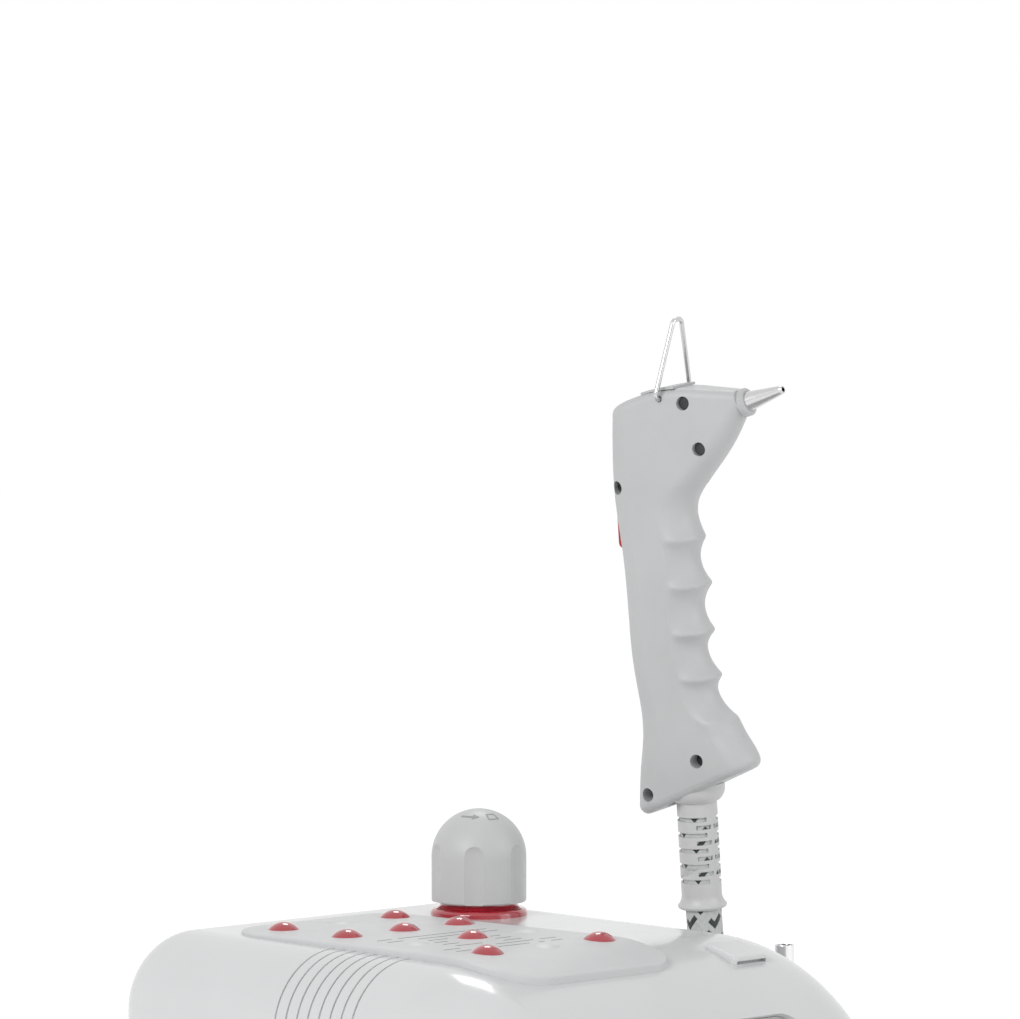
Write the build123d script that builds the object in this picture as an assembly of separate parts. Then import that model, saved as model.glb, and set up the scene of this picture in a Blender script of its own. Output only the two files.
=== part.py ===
# Garment steamer: a steam generator base with an iron rest, a filler cap and a steam gun on a hose.
# Millimetres. The origin is on the floor under the middle of the base, -Y is the front and +Z is up.
from build123d import *
import math
import os

# Base housing
base_width = 240.0
base_length = 278.0
base_top = 225.0
foot_height = 12.0
wall = 3.0
front_round = 97.0
rear_round = 20.0
left_round = 34.0
right_round = 53.0
bottom_round = 6.0
parting_height = 70.0
lip_height = 4.0
lip_gap = 0.2
lip_wall = 2.0
lip_root = 6.0
shadow_line = 1.1

# Grooves over the left shoulder
groove_count = 8
groove_pitch = 6.84
groove_width = 1.1
groove_depth = 0.9
groove_middle = 4.3
groove_end = -85.0
groove_low = 92.0

# Iron rest pad and its studs
pad_left = -86.0
pad_right = 14.0
pad_front = -80.0
pad_rear = 106.0
pad_left_corner = 26.0
pad_right_corner = 12.0
pad_rear_rise = 1.0
pad_front_rise = 3.3
pad_edge_round = 0.9
pad_end_angle = 48.0
pad_root = 100.0
pad_overrun = 5.0
stud_diameter = 14.0
stud_height = 3.4
stud_seat = 1.2
stud_columns = (-65.0, -31.5, 1.0)
stud_rows = (85.5, 43.5, -0.5, -45.5)
plain_studs = ((1, 0), (0, 2), (2, 2), (1, 3))
plain_stud_height = 1.6

# Filler cap
cap_x = 43.8
cap_y = 76.4
neck_outer = 30.0
neck_bore = 22.0
neck_top = base_top + 15.0
collar_flange = 44.0
collar_waist = 35.0
collar_height = 5.6
cap_diameter = 43.0
cap_low = base_top + 6.0
cap_high = base_top + 48.0
cap_wall = 3.0
cap_flutes = 6
flute_start = -139.0
flute_radius = 8.5
flute_depth = 1.75
flute_top = cap_low + 23.0
plug_length = 26.0
plug_flange = 4.0
spigot_diameter = 12.0
spigot_length = 12.0

# Control panel in the front slope
panel_width = 111.0
panel_corner = 10.0
panel_top_angle = 43.6
panel_bottom_angle = 75.0
panel_sink = 2.5
panel_thick = 1.5
pan_wall = 3.0
switch_x = -30.0
switch_length = 30.0
switch_height = 14.0
rocker_radius = 13.1
rocker_width = 10.2
rocker_tilt = 8.0
rocker_pivot = 2.5
rocker_pin = 2.8
switch_rim = 2.5
switch_depth = 14.0
lamp_places = (12.0, 34.0)
lamp_diameter = 8.0
lamp_depth = 10.0
lamp_rim = 1.2
lamp_dome = 2.4

# Clip plate on the right shoulder
clip_left = 45.8
clip_right = 66.5
clip_y = -73.5
clip_depth = 19.5
clip_height = 2.4
clip_tilt = 4.0
clip_slot = 0.8
clip_corner = 2.0
clip_round = 1.4

# Hose support socket on the right wall
socket_x = 129.2
socket_y = -33.3
socket_outer = 8.6
socket_bore = 7.0
socket_low = 124.0
socket_high = base_top - 11.2
clamp_heights = (138.0, 165.0)
clamp_size = 13.0
socket_floor = 8.0

# Boiler and fittings
boiler_x = 22.0
boiler_y = 45.0
boiler_radius = 75.0
boiler_low = 48.0
boiler_high = 180.0
boiler_wall = 2.0
boiler_round = 18.0
element_radius = 42.0
element_tube = 8.0
element_height = 66.0
bracket_radius = 60.0
bracket_angles = (45.0, 165.0, 285.0)
bracket_diameter = 20.0
bracket_height = 8.0
pillar_diameter = 14.0
element_reach = 16.0
thread_length = 6.0
drain_thread = 14.0
drain_hole = 26.0
top_fittings = {
    # x, y and thread diameter on the boiler's top
    "safety_valve": (4.0, 87.0, 10.0),
    "pressure_switch": (-12.0, 35.0, 8.0),
    "steam_pipe": (56.0, 13.0, 8.0),
}
solenoid_x = 64.0
solenoid_y = -80.0
solenoid_top = 118.0
solenoid_outlet = 44.0
solenoid_foot = (26.0, 26.0, 16.0)
solenoid_body = (32.0, 28.0, 26.0)
solenoid_coil = (34.0, 32.0, 42.0)
solenoid_stem = 14.0
pipe_rise = 22.0
pipe_bend = 13.0
outlet_bend = 5.0
outlet_pipe_diameter = 6.0
terminal_x = -60.0
terminal_y = 78.0
terminal_size = (46.0, 16.0, 16.0)
terminal_count = 5
terminal_pitch = 9.0
terminal_hole = 5.0
gland_height = 30.0
hose_gland_y = 0.0
mains_gland_x = -60.0
mains_gland_z = 44.0
hose_gland_thread = 18.0
mains_gland_thread = 16.0
mains_lead = 8.0

# Feet and screws of the base
foot_x = 90.0
foot_y = 108.0
foot_diameter = 26.0
foot_stem = 8.0
post_x = 104.0
post_y = 66.0
post_diameter = 9.0
screw_shank = 3.8
screw_head = 7.0
screw_sink = 8.0
lug_width = 12.0
lug_height = 22.0
vent_count = 7
vent_pitch = 10.0
vent_size = (60.0, 4.0)
vent_x = -70.0

# Steam gun: places across it are u towards the nozzle, t to its right side and w up along its hose axis
gun_wall = 2.2
gun_round = 10.0
gun_side_lean = 0.06
gun_fore_lean = 0.09
gun_heading = (0.2075, -0.9785)
view_right = (0.7314, -0.682)
view_away = (0.682, 0.7314)
swivel_height = base_top + 54.0
hose_x = 135.9
hose_y = 24.9
gun_sections = (
    # w, back, front, thickness, nose radius
    (-14.0, -26.2, 33.0, 34.0, 12.0),
    (10.0, -23.2, 33.0, 34.0, 12.0),
    (24.0, -21.3, 29.0, 33.0, 12.0),
    (38.0, -21.5, 19.6, 32.0, 12.5),
    (56.0, -24.4, 14.2, 31.0, 13.5),
    (84.0, -26.1, 11.4, 30.5, 14.0),
    (112.0, -27.6, 10.2, 30.0, 14.0),
    (134.0, -29.9, 8.8, 30.0, 13.0),
    (148.0, -30.2, 19.0, 30.0, 11.5),
    (162.0, -29.8, 30.5, 29.5, 10.0),
    (176.0, -29.2, 39.0, 28.0, 8.0),
    (192.0, -28.6, 40.0, 26.0, 8.0),
)
gun_top = 186.0
gun_crown_start = 14.0
gun_nose_height = 183.5
gun_back_height = 174.0
gun_back_reach = -32.0
gun_bottom_rise = 0.437
gun_bottom_height = -1.5
gun_top_round = 4.0
gun_foot_round = 4.0
scoop_heights = (126.0, 105.0, 84.0, 63.0, 43.0)
scoop_fronts = (11.6, 10.5, 11.4, 13.2, 18.0)
scoop_radius = 10.8
scoop_depth = 4.8
scoop_half_width = 11.6
scoop_start = 1.5
scoop_corner = 3.8
boss_places = ((10.7, 179.6), (18.0, 159.0), (-24.7, 141.0), (9.8, 16.6), (-15.4, 0.4))
boss_diameter = 8.0
gun_screw_head = 5.6
gun_screw_shank = 2.8
counterbore = 6.3
counterbore_floor = 6.5

# Trigger, nozzle and hanging loop
trigger_height = 122.0
trigger_length = 21.0
trigger_width = 11.0
trigger_gap = 0.4
trigger_travel = 2.5
trigger_proud = 3.2
flange_gap = 1.6
flange_thick = 2.0
flange_lip = 1.5
microswitch_case = (9.0, 6.4, 20.0)
microswitch_plunger = (2.6, 3.0, 3.0)
nozzle_u = 37.0
nozzle_w = 178.9
nozzle_angle = 17.0
nozzle_base = 9.0
nozzle_tip = 4.0
nozzle_bore = 2.2
nozzle_length = 21.8
ring_outer = 12.8
ring_length = 3.2
nozzle_root = 6.0
gun_pipe_u = -6.0
gun_pipe_diameter = 6.0
loop_wire = 2.2
loop_u = -1.0
loop_w = 181.6
loop_half_width = 15.1
loop_top_half_width = 3.2
loop_height = 35.0
loop_lean = 4.8
loop_clearance = 0.25
loop_foot_bend = 2.4
loop_top_bend = 3.0
loop_bridge = (7.0, 60.0, 7.0)
saddle_back = -12.0
saddle_front = 5.5
saddle_half_width = 9.4
saddle_thick = 1.2

# Swivel collar, strain relief and hose
hose_diameter = 16.4
bowl_radius = 13.3
bowl_foot_radius = 9.8
bowl_full = 1.5
bowl_top = 4.0
web_low = 5.0
web_thick = 5.4
collar_neck = 6.5
collar_rim = 8.0
collar_rim_low = 11.0
collar_top = 12.6
collar_gap = 0.3
sleeve_outer = 18.6
sleeve_bore = 16.6
sleeve_top = -4.5
sleeve_low = -54.0
sleeve_flare = 22.6
flare_height = 7.0
slot_first = -12.0
slot_pitch = 7.2
slot_rows = 5
slot_height = 2.0
wide_slot = 141.0
wide_starts = (-171.8, 8.2)
narrow_slot = 46.0
narrow_starts = (-62.8, -7.8, 117.2, 172.2)
floor_gap = 1.6
bend_radius = 92.0
hose_lean = 13.0
coil_radius = 94.0
coil_pitch = 17.0
coil_lift = 17.0
coil_x = hose_x + coil_radius
quarters_in = 4
quarters_climb = 2
coil_quarters = (0, 1, 2, 3, 4, 5, 6, 7, 8, 9, 10, 10.5)
riser_run = 22.0
riser_middle = 140.0
riser_offset = 1.0
tail_run = 17.0
tail_corner = (243.5, 22.4, 24.5)
tail_turn_x = 180.0
tail_depth = 8.0
tie_width = 12.0
tie_thick = 1.0
tie_slack = 1.0
tie_corner = 6.0

# Round bars stand on their foot
BASE = (Align.CENTER, Align.CENTER, Align.MIN)


def housing(inset):
    """The base's outer form, drawn in by inset on every side."""
    half_width = base_width / 2 - inset
    half_length = base_length / 2 - inset
    low = foot_height + inset
    high = base_top - inset
    front = front_round - inset
    outline = [
        Line((-half_length, low), (-half_length, high - front)),
        TangentArc((-half_length, high - front), (front - half_length, high), tangent=(0, 1)),
        Line((front - half_length, high), (half_length, high)),
        Line((half_length, high), (half_length, low)),
        Line((half_length, low), (-half_length, low)),
    ]
    form = extrude(Plane.YZ * make_face(outline), amount=half_width, both=True)
    for side, radius in ((-half_width, left_round), (half_width, right_round)):
        shoulder = [
            edge for edge in form.edges()
            if abs(edge.center().X - side) < 0.01
            and edge.center().Z > low + 1 and edge.center().Y < half_length - 1
        ]
        form = fillet(shoulder, radius - inset)
    back = form.faces().sort_by(Axis.Y)[-1]
    form = fillet([edge for edge in back.edges() if edge.center().Z > low + 1], rear_round - inset)
    return fillet(form.edges().group_by(Axis.Z)[0], bottom_round - min(inset, wall))


def slab(low, high):
    """A block wider than the base between two heights."""
    return Pos(0, 0, (low + high) / 2) * Box(2 * base_width, 2 * base_length, high - low)


def post(x, y, diameter, low, high):
    """An upright round bar between two heights."""
    return Pos(x, y, (low + high) / 2) * Cylinder(diameter / 2, high - low)


def corners(x, y):
    """The four places at plus and minus x and y."""
    return [(sx * x, sy * y) for sx in (-1, 1) for sy in (-1, 1)]


def front_drop(y):
    """How far the base's top has fallen at a place on its front slope."""
    reach = max(0.0, front_round - base_length / 2 - y)
    return front_round - math.sqrt(front_round ** 2 - reach ** 2)


outer_form = housing(0)
inner_form = housing(wall)
shell_form = outer_form - inner_form

# Panel plane on the chord of the front slope, facing out
panel_angle = math.radians((panel_top_angle + panel_bottom_angle) / 2)
panel_half_turn = math.radians((panel_bottom_angle - panel_top_angle) / 2)
panel_height = 2 * front_round * math.sin(panel_half_turn)
chord_reach = front_round * math.cos(panel_half_turn)
panel_plane = Plane(
    origin=(
        0,
        front_round - base_length / 2 - chord_reach * math.sin(panel_angle),
        base_top - front_round + chord_reach * math.cos(panel_angle),
    ),
    x_dir=(1, 0, 0),
    z_dir=(0, -math.sin(panel_angle), math.cos(panel_angle)),
)


def on_panel(shape, x=0.0, depth=0.0):
    """A shape made at the origin, set on the panel at x with its foot at this depth."""
    return panel_plane.location * Pos(x, 0, -depth) * shape


def raised(sketch, height):
    """A flat outline given a height."""
    return extrude(sketch, amount=height)


plate_floor = panel_sink + panel_thick
panel_blank = RectangleRounded(panel_width, panel_height, panel_corner)
pan_block = RectangleRounded(
    panel_width + 2 * pan_wall, panel_height + 2 * pan_wall, panel_corner + pan_wall
)
switch_hole = Rectangle(switch_length + 0.3, switch_height + 0.3)


def panel_holes():
    """The holes for the switch and the lamps, through the panel and its pan."""
    depth = plate_floor + 4 * wall
    holes = on_panel(raised(switch_hole, depth), switch_x, depth)
    for x in lamp_places:
        holes += on_panel(raised(Circle(lamp_diameter / 2), depth), x, depth)
    return holes


def make_top_shell():
    """The white upper housing with its panel pan, grooves, holes and screw lugs."""
    shell = shell_form & slab(parting_height, base_top + 10)
    pan = on_panel(raised(pan_block, plate_floor + wall + 20), 0, plate_floor + wall)
    shell += pan & outer_form
    shell -= on_panel(raised(panel_blank, plate_floor + 30), 0, plate_floor)
    shell -= panel_holes()
    shell -= post(cap_x, cap_y, neck_outer + 2, base_top - 20, base_top + 5)
    for x, y in corners(post_x, post_y):
        side = math.copysign(1, x)
        lug_reach = base_width / 2 - wall / 2 - post_x + post_diameter / 2
        lug_middle = side * (base_width / 2 - wall / 2 - lug_reach / 2)
        lug = Pos(lug_middle, y, parting_height + lug_height / 2) * Box(lug_reach, lug_width, lug_height)
        shell += lug - post(x, y, screw_shank, parting_height - 1, parting_height + 16)
    skin = outer_form - housing(groove_depth)
    groove_reach = base_width / 2 + groove_end
    for index in range(groove_count):
        y = groove_middle + (index - (groove_count - 1) / 2) * groove_pitch
        cutter = Box(groove_reach + 2, groove_width, base_top - groove_low + 2)
        middle = ((groove_end - base_width / 2) / 2 - 1, y, (base_top + groove_low) / 2 + 1)
        shell -= skin & (Pos(*middle) * cutter)
    rim_cut = (outer_form - housing(shadow_line)) & slab(parting_height, parting_height + shadow_line)
    return shell - rim_cut


def make_base_tray():
    """The lower housing with its lip, screw posts, boiler pillars, vents and gland holes."""
    floor_top = foot_height + wall
    tray = shell_form & slab(0, parting_height)
    lip = housing(wall + lip_gap) - housing(wall + lip_wall)
    lip &= slab(parting_height, parting_height + lip_height)
    root = (housing(wall - 0.5) - housing(wall + lip_wall)) & slab(parting_height - lip_root, parting_height)
    tray += root + lip
    for x, y in corners(post_x, post_y):
        notch = Pos(x, y, parting_height + lip_height) * Box(40, lug_width + 2, 2 * lip_height)
        tray -= notch
        tray += post(x, y, post_diameter, floor_top - 1, parting_height)
        tray -= post(x, y, screw_shank + 0.6, 0, parting_height + 1)
        tray -= post(x, y, screw_head + 0.6, 0, foot_height + screw_sink)
    for x, y in bracket_places():
        tray += post(x, y, pillar_diameter, floor_top - 1, boiler_low - bracket_height)
    for x, y in corners(foot_x, foot_y):
        tray -= post(x, y, foot_stem, 0, floor_top + 1)
    vent = extrude(SlotOverall(*vent_size), amount=3 * wall, both=True)
    for index in range(vent_count):
        tray -= Pos(vent_x, (index - (vent_count - 1) / 2) * vent_pitch, floor_top) * vent
    tray -= post(boiler_x, boiler_y, drain_hole, 0, floor_top + 1)
    hose_hole = Rot(0, 90, 0) * Cylinder(hose_gland_thread / 2, 20)
    tray -= Pos(base_width / 2, hose_gland_y, gland_height) * hose_hole
    mains_hole = Rot(90, 0, 0) * Cylinder(mains_gland_thread / 2, 20)
    tray -= Pos(mains_gland_x, base_length / 2, mains_gland_z) * mains_hole
    return tray


def bracket_places():
    """Three places under the boiler, evenly round its axis."""
    turns = [math.radians(angle) for angle in bracket_angles]
    return [
        (boiler_x + bracket_radius * math.cos(turn), boiler_y + bracket_radius * math.sin(turn))
        for turn in turns
    ]


def pad_form():
    """The rest pad: its own side profile over a rounded plan, resting on the housing."""
    front_y = front_round - base_length / 2
    rise = front_round + pad_front_rise
    end_angle = math.radians(pad_end_angle)
    end = (front_y - rise * math.sin(end_angle), base_top - front_round + rise * math.cos(end_angle))
    rear_end = (pad_rear + pad_overrun, base_top + pad_rear_rise)
    crest = (front_y, base_top + pad_front_rise)
    profile = [
        TangentArc(crest, end, tangent=(-1, 0)),
        Line(end, (end[0], pad_root)),
        Line((end[0], pad_root), (rear_end[0], pad_root)),
        Line((rear_end[0], pad_root), rear_end),
        Line(rear_end, crest),
    ]
    body = extrude(Plane.YZ * make_face(profile), amount=base_width / 2, both=True)
    plan = Rectangle(pad_right - pad_left, pad_rear - pad_front)
    plan = fillet(plan.vertices().group_by(Axis.X)[0], pad_left_corner)
    plan = fillet(plan.vertices().group_by(Axis.X)[-1], pad_right_corner)
    plan = Pos((pad_left + pad_right) / 2, (pad_front + pad_rear) / 2) * plan
    form = body & extrude(plan, amount=2 * base_top)
    tops = [face for face in form.faces() if face.normal_at().Z > 0.5]
    rim = [edge for face in tops for edge in face.edges() if abs(edge.center().Y - front_y) > 1]
    return fillet(rim, pad_edge_round)


def pad_surface(y):
    """The pad's own top height at a place along it."""
    front_y = front_round - base_length / 2
    if y < front_y:
        rise = front_round + pad_front_rise
        return base_top - front_round + math.sqrt(rise ** 2 - (y - front_y) ** 2)
    share = (pad_rear + pad_overrun - y) / (pad_rear + pad_overrun - front_y)
    return base_top + pad_rear_rise + share * (pad_front_rise - pad_rear_rise)


def stud_places(plain):
    """The studs' places on the pad, the plain ones or the red ones."""
    places = []
    for row, y in enumerate(stud_rows):
        for column, x in enumerate(stud_columns):
            if ((column, row) in plain_studs) == plain:
                places.append((x, y))
    return places


def dome(diameter, height):
    """A round-topped stud standing on its flat base."""
    radius = ((diameter / 2) ** 2 + height ** 2) / (2 * height)
    ball = Pos(0, 0, height - radius) * Sphere(radius)
    return ball & (Pos(0, 0, height / 2 + 5) * Box(diameter + 2, diameter + 2, height + 10))


def pad_tilt(y):
    """The pad's slope at a place along it, in degrees about X."""
    front_y = front_round - base_length / 2
    if y >= front_y:
        return 0.0
    return math.degrees(math.asin((front_y - y) / (front_round + pad_front_rise)))


def seat(x, y, depth=0.0):
    """The frame of a stud on the pad, sunk by a depth."""
    return Pos(x, y, pad_surface(y)) * Rot(pad_tilt(y), 0, 0) * Pos(0, 0, -depth)


def make_pad():
    """The grey rest pad with its plain studs and the sockets of the red ones."""
    pad = pad_form() - outer_form
    for x, y in stud_places(True):
        pad += seat(x, y, 0.3) * dome(stud_diameter, plain_stud_height)
    for x, y in stud_places(False):
        pad -= seat(x, y, stud_seat) * Cylinder(stud_diameter / 2, 4 * stud_seat, align=BASE)
    return pad


def make_studs():
    """The red silicone studs, each a dome on a short plug."""
    studs = []
    for x, y in stud_places(False):
        plug = Cylinder(stud_diameter / 2, stud_seat, align=BASE)
        solid = plug + Pos(0, 0, stud_seat) * dome(stud_diameter, stud_height)
        studs.append((seat(x, y, stud_seat) * solid) - outer_form)
    return studs


def turned(points, x=0.0, y=0.0):
    """A round piece from its profile of radius and height, on an upright axis."""
    return Pos(x, y, 0) * revolve(Plane.XZ * make_face(Polyline(*points, close=True)), Axis.Z)


def make_filler():
    """The filler neck, the red collar, the plug and the fluted cap."""
    half = neck_outer / 2
    neck = post(cap_x, cap_y, neck_outer, boiler_high - 8, neck_top)
    neck -= post(cap_x, cap_y, neck_bore, boiler_high - 9, neck_top + 1)
    flare = [
        Line((half + 0.2, base_top), (collar_flange / 2, base_top)),
        Line((collar_flange / 2, base_top), (collar_flange / 2, base_top + 1.6)),
        ThreePointArc(
            (collar_flange / 2, base_top + 1.6),
            (collar_flange / 2 - 0.8, base_top + 2.8),
            (collar_flange / 2 - 2.2, base_top + 3.4),
        ),
        TangentArc(
            (collar_flange / 2 - 2.2, base_top + 3.4),
            (collar_waist / 2, base_top + collar_height),
            tangent=(-1, 0),
        ),
        Line((collar_waist / 2, base_top + collar_height), (half + 0.2, base_top + collar_height)),
        Line((half + 0.2, base_top + collar_height), (half + 0.2, base_top)),
    ]
    collar = Pos(cap_x, cap_y, 0) * revolve(Plane.XZ * make_face(flare), Axis.Z)
    bore = neck_bore / 2 - 0.3
    seal = neck_top + 0.1
    spigot_top = seal + plug_flange + spigot_length
    plug = turned(
        [
            (0, neck_top - plug_length), (bore - 2, neck_top - plug_length),
            (bore, neck_top - plug_length + 2), (bore, seal), (half - 1, seal),
            (half - 1, seal + plug_flange), (spigot_diameter / 2, seal + plug_flange),
            (spigot_diameter / 2, spigot_top), (0, spigot_top),
        ],
        cap_x, cap_y,
    )
    return neck, collar, plug, make_cap(seal)


def make_cap(seal):
    """The fluted dome that is turned by hand, hollow over the neck."""
    radius = cap_diameter / 2
    straight = cap_high - radius
    side = [
        Line((0, cap_low), (radius - 1, cap_low)),
        TangentArc((radius - 1, cap_low), (radius, cap_low + 1), tangent=(1, 0)),
        Line((radius, cap_low + 1), (radius, straight)),
        TangentArc((radius, straight), (0, cap_high), tangent=(0, 1)),
        Line((0, cap_high), (0, cap_low)),
    ]
    cap = revolve(Plane.XZ * make_face(side), Axis.Z)
    for index in range(cap_flutes):
        turn = Rot(0, 0, flute_start + index * 360 / cap_flutes)
        reach = radius + flute_radius - flute_depth
        cutter = Pos(reach, 0, cap_low - 2) * Cylinder(flute_radius, flute_top - cap_low + 2, align=BASE)
        cap -= turn * (cutter + Pos(reach, 0, flute_top) * Sphere(flute_radius))
    flange_top = seal + plug_flange
    cavity = post(0, 0, cap_diameter - 4 * cap_wall, cap_low - 1, flange_top + 0.4)
    cap -= cavity + post(0, 0, spigot_diameter + 0.2, flange_top, flange_top + spigot_length + 0.4)
    return Pos(cap_x, cap_y, 0) * cap


def make_panel_set():
    """The control panel, the switch frame and rocker, and the two lamps."""
    blank = RectangleRounded(panel_width - 0.4, panel_height - 0.4, panel_corner - 0.2)
    plate = on_panel(raised(blank, panel_thick), 0, plate_floor)
    plate -= panel_holes()
    rim = RectangleRounded(switch_length + 2 * switch_rim, switch_height + 2 * switch_rim, 2)
    body = Pos(0, 0, -switch_depth) * raised(Rectangle(switch_length, switch_height), switch_depth)
    frame = raised(rim, 1.5) + body
    frame -= Pos(0, 0, -8) * raised(Rectangle(2 * rocker_radius + 0.6, rocker_width + 0.6), 12)
    pivot = Pos(0, 0, -rocker_pivot)
    frame -= pivot * Rot(90, 0, 0) * Cylinder(rocker_pin / 2 + 0.1, switch_height - 0.6)
    reach = 2 * rocker_radius
    band = Polyline(
        (-reach, -2), (reach, -2), (reach, 8.6), (0, 5.2), (-reach, 8.6), close=True
    )
    key_side = Plane.XZ * (Circle(rocker_radius) & make_face(band))
    key = extrude(key_side, amount=rocker_width / 2, both=True)
    key += Rot(90, 0, 0) * Cylinder(rocker_pin / 2, switch_height - 1)
    rocker = pivot * Rot(0, rocker_tilt, 0) * key
    lamps = []
    for x in lamp_places:
        lens = Pos(0, 0, -lamp_depth) * Cylinder(lamp_diameter / 2, lamp_depth, align=BASE)
        lens += Cylinder(lamp_diameter / 2 + lamp_rim, 0.8, align=BASE)
        lens += Pos(0, 0, 0.6) * dome(lamp_diameter + 0.6, lamp_dome)
        lamps.append(on_panel(lens, x, panel_sink))
    frame = on_panel(frame, switch_x, panel_sink)
    rocker = on_panel(rocker, switch_x, panel_sink)
    return plate, frame, rocker, lamps


def make_clip():
    """The clip plate on the right shoulder, with a slit under its front lip."""
    front_y = front_round - base_length / 2
    angle = math.asin((front_y - clip_y) / front_round)
    place = Pos((clip_left + clip_right) / 2, clip_y, base_top - front_drop(clip_y))
    place = place * Rot(math.degrees(angle) - clip_tilt, 0, 0)
    block = Box(clip_right - clip_left, clip_depth, 2 * clip_height)
    block = fillet(block.edges().filter_by(Axis.Z), clip_corner)
    block = fillet(block.edges().group_by(Axis.Z)[-1], clip_round)
    slit = Pos(0, -clip_depth / 2, 0) * Box(clip_right - clip_left - 3, 5, 2 * clip_slot)
    return place * (block - slit) - outer_form


def make_socket():
    """The chrome support socket and its two wall clamps."""
    tube = post(socket_x, socket_y, socket_outer, socket_low, socket_high)
    tube -= post(socket_x, socket_y, socket_bore, socket_low + socket_floor, socket_high + 1)
    tube = fillet(tube.edges().group_by(Axis.Z)[-1], 0.35)
    clamps = []
    for height in clamp_heights:
        reach = socket_x - base_width / 2
        block = Pos(base_width / 2 + reach / 2, socket_y, height) * Box(reach, clamp_size, clamp_size)
        block += post(socket_x, socket_y, clamp_size, height - clamp_size / 2, height + clamp_size / 2)
        block -= post(socket_x, socket_y, socket_outer, socket_low, socket_high)
        clamps.append(block)
    return tube, clamps


def make_boiler():
    """The hollow boiler tank, its brackets and what is screwed into it."""
    outer = Pos(boiler_x, boiler_y, (boiler_low + boiler_high) / 2) * Cylinder(
        boiler_radius, boiler_high - boiler_low
    )
    outer = fillet(outer.edges(), boiler_round)
    inner = Pos(boiler_x, boiler_y, (boiler_low + boiler_high) / 2) * Cylinder(
        boiler_radius - boiler_wall, boiler_high - boiler_low - 2 * boiler_wall
    )
    tank = outer - fillet(inner.edges(), boiler_round - boiler_wall)
    tank -= post(cap_x, cap_y, neck_outer, boiler_high - 10, boiler_high + 5)
    for x, y, diameter in top_fittings.values():
        tank -= post(x, y, diameter, boiler_high - 10, boiler_high + 5)
    tank -= post(boiler_x, boiler_y, drain_thread, boiler_low - 5, boiler_low + 10)
    for x, y in element_legs():
        tank -= post(x, y, element_tube, boiler_low - 5, boiler_low + 10)
    brackets = []
    for x, y in bracket_places():
        brackets.append(post(x, y, bracket_diameter, boiler_low - bracket_height, boiler_low))
    return tank, brackets


def element_legs():
    """The places of the heating element's two upright ends."""
    along = math.sqrt(element_radius ** 2 - element_reach ** 2)
    return [(boiler_x - along, boiler_y + side * element_reach) for side in (-1, 1)]


def make_element():
    """The heating element: an open ring of tube with two legs through the boiler's floor."""
    legs = element_legs()
    start = math.degrees(math.atan2(legs[1][1] - boiler_y, legs[1][0] - boiler_x))
    sweep_angle = 2 * start
    profile = Plane.XZ * (Pos(element_radius, 0) * Circle(element_tube / 2))
    ring = Rot(0, 0, -start) * revolve(profile, Axis.Z, sweep_angle)
    element = Pos(boiler_x, boiler_y, element_height) * ring
    for x, y in legs:
        element += Pos(x, y, element_height) * Sphere(element_tube / 2)
        element += post(x, y, element_tube, boiler_low - 12, element_height)
    return element


def make_fittings():
    """The valve, switches, plug and pipes round the boiler."""
    made = {}
    root = boiler_high - thread_length
    x, y, diameter = top_fittings["safety_valve"]
    made["safety_valve"] = turned(
        [
            (0, root), (diameter / 2, root), (diameter / 2, boiler_high),
            (9, boiler_high), (9, boiler_high + 6), (7, boiler_high + 8), (7, boiler_high + 24),
            (4, boiler_high + 26), (4, boiler_high + 32), (0, boiler_high + 32),
        ],
        x, y,
    )
    x, y, diameter = top_fittings["pressure_switch"]
    made["pressure_switch"] = turned(
        [
            (0, root), (diameter / 2, root), (diameter / 2, boiler_high),
            (7, boiler_high), (7, boiler_high + 8), (18, boiler_high + 9), (18, boiler_high + 20),
            (15, boiler_high + 22), (15, boiler_high + 28), (0, boiler_high + 28),
        ],
        x, y,
    )
    made["drain_plug"] = turned(
        [
            (0, 5), (9, 5), (9, 12), (11, 13), (11, 20), (drain_thread / 2, 22),
            (drain_thread / 2, boiler_low + thread_length), (0, boiler_low + thread_length),
        ],
        boiler_x, boiler_y,
    )
    low = boiler_low - 9
    made["thermostat"] = turned(
        [(0, low), (8, low), (8, low + 5), (11, low + 6), (11, boiler_low), (0, boiler_low)],
        boiler_x + 30, boiler_y - 20,
    )
    made["solenoid_valve"] = make_solenoid()
    x, y, diameter = top_fittings["steam_pipe"]
    up = boiler_high + pipe_rise
    inlet = (solenoid_x, solenoid_y, solenoid_top)
    made["steam_pipe"] = tube_along(
        [(x, y, root), (x, y, up), (inlet[0], inlet[1], up), inlet], pipe_bend, diameter
    )
    outlet = (solenoid_x + solenoid_body[0] / 2, solenoid_y, solenoid_outlet)
    gland_end = (base_width / 2 - 14, hose_gland_y, gland_height)
    made["outlet_pipe"] = tube_along(
        [
            outlet,
            (outlet[0] + 10, solenoid_y, solenoid_outlet),
            (gland_end[0] - 12, -24, gland_height),
            (gland_end[0] - 12, hose_gland_y, gland_height),
            gland_end,
        ],
        outlet_bend, outlet_pipe_diameter,
    )
    floor_top = foot_height + wall
    block = Pos(terminal_x, terminal_y, floor_top) * Box(*terminal_size, align=BASE)
    for index in range(terminal_count):
        x = terminal_x + (index - (terminal_count - 1) / 2) * terminal_pitch
        block -= post(x, terminal_y, terminal_hole, floor_top + 10, floor_top + 20)
    made["terminal_block"] = block
    return made


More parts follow.
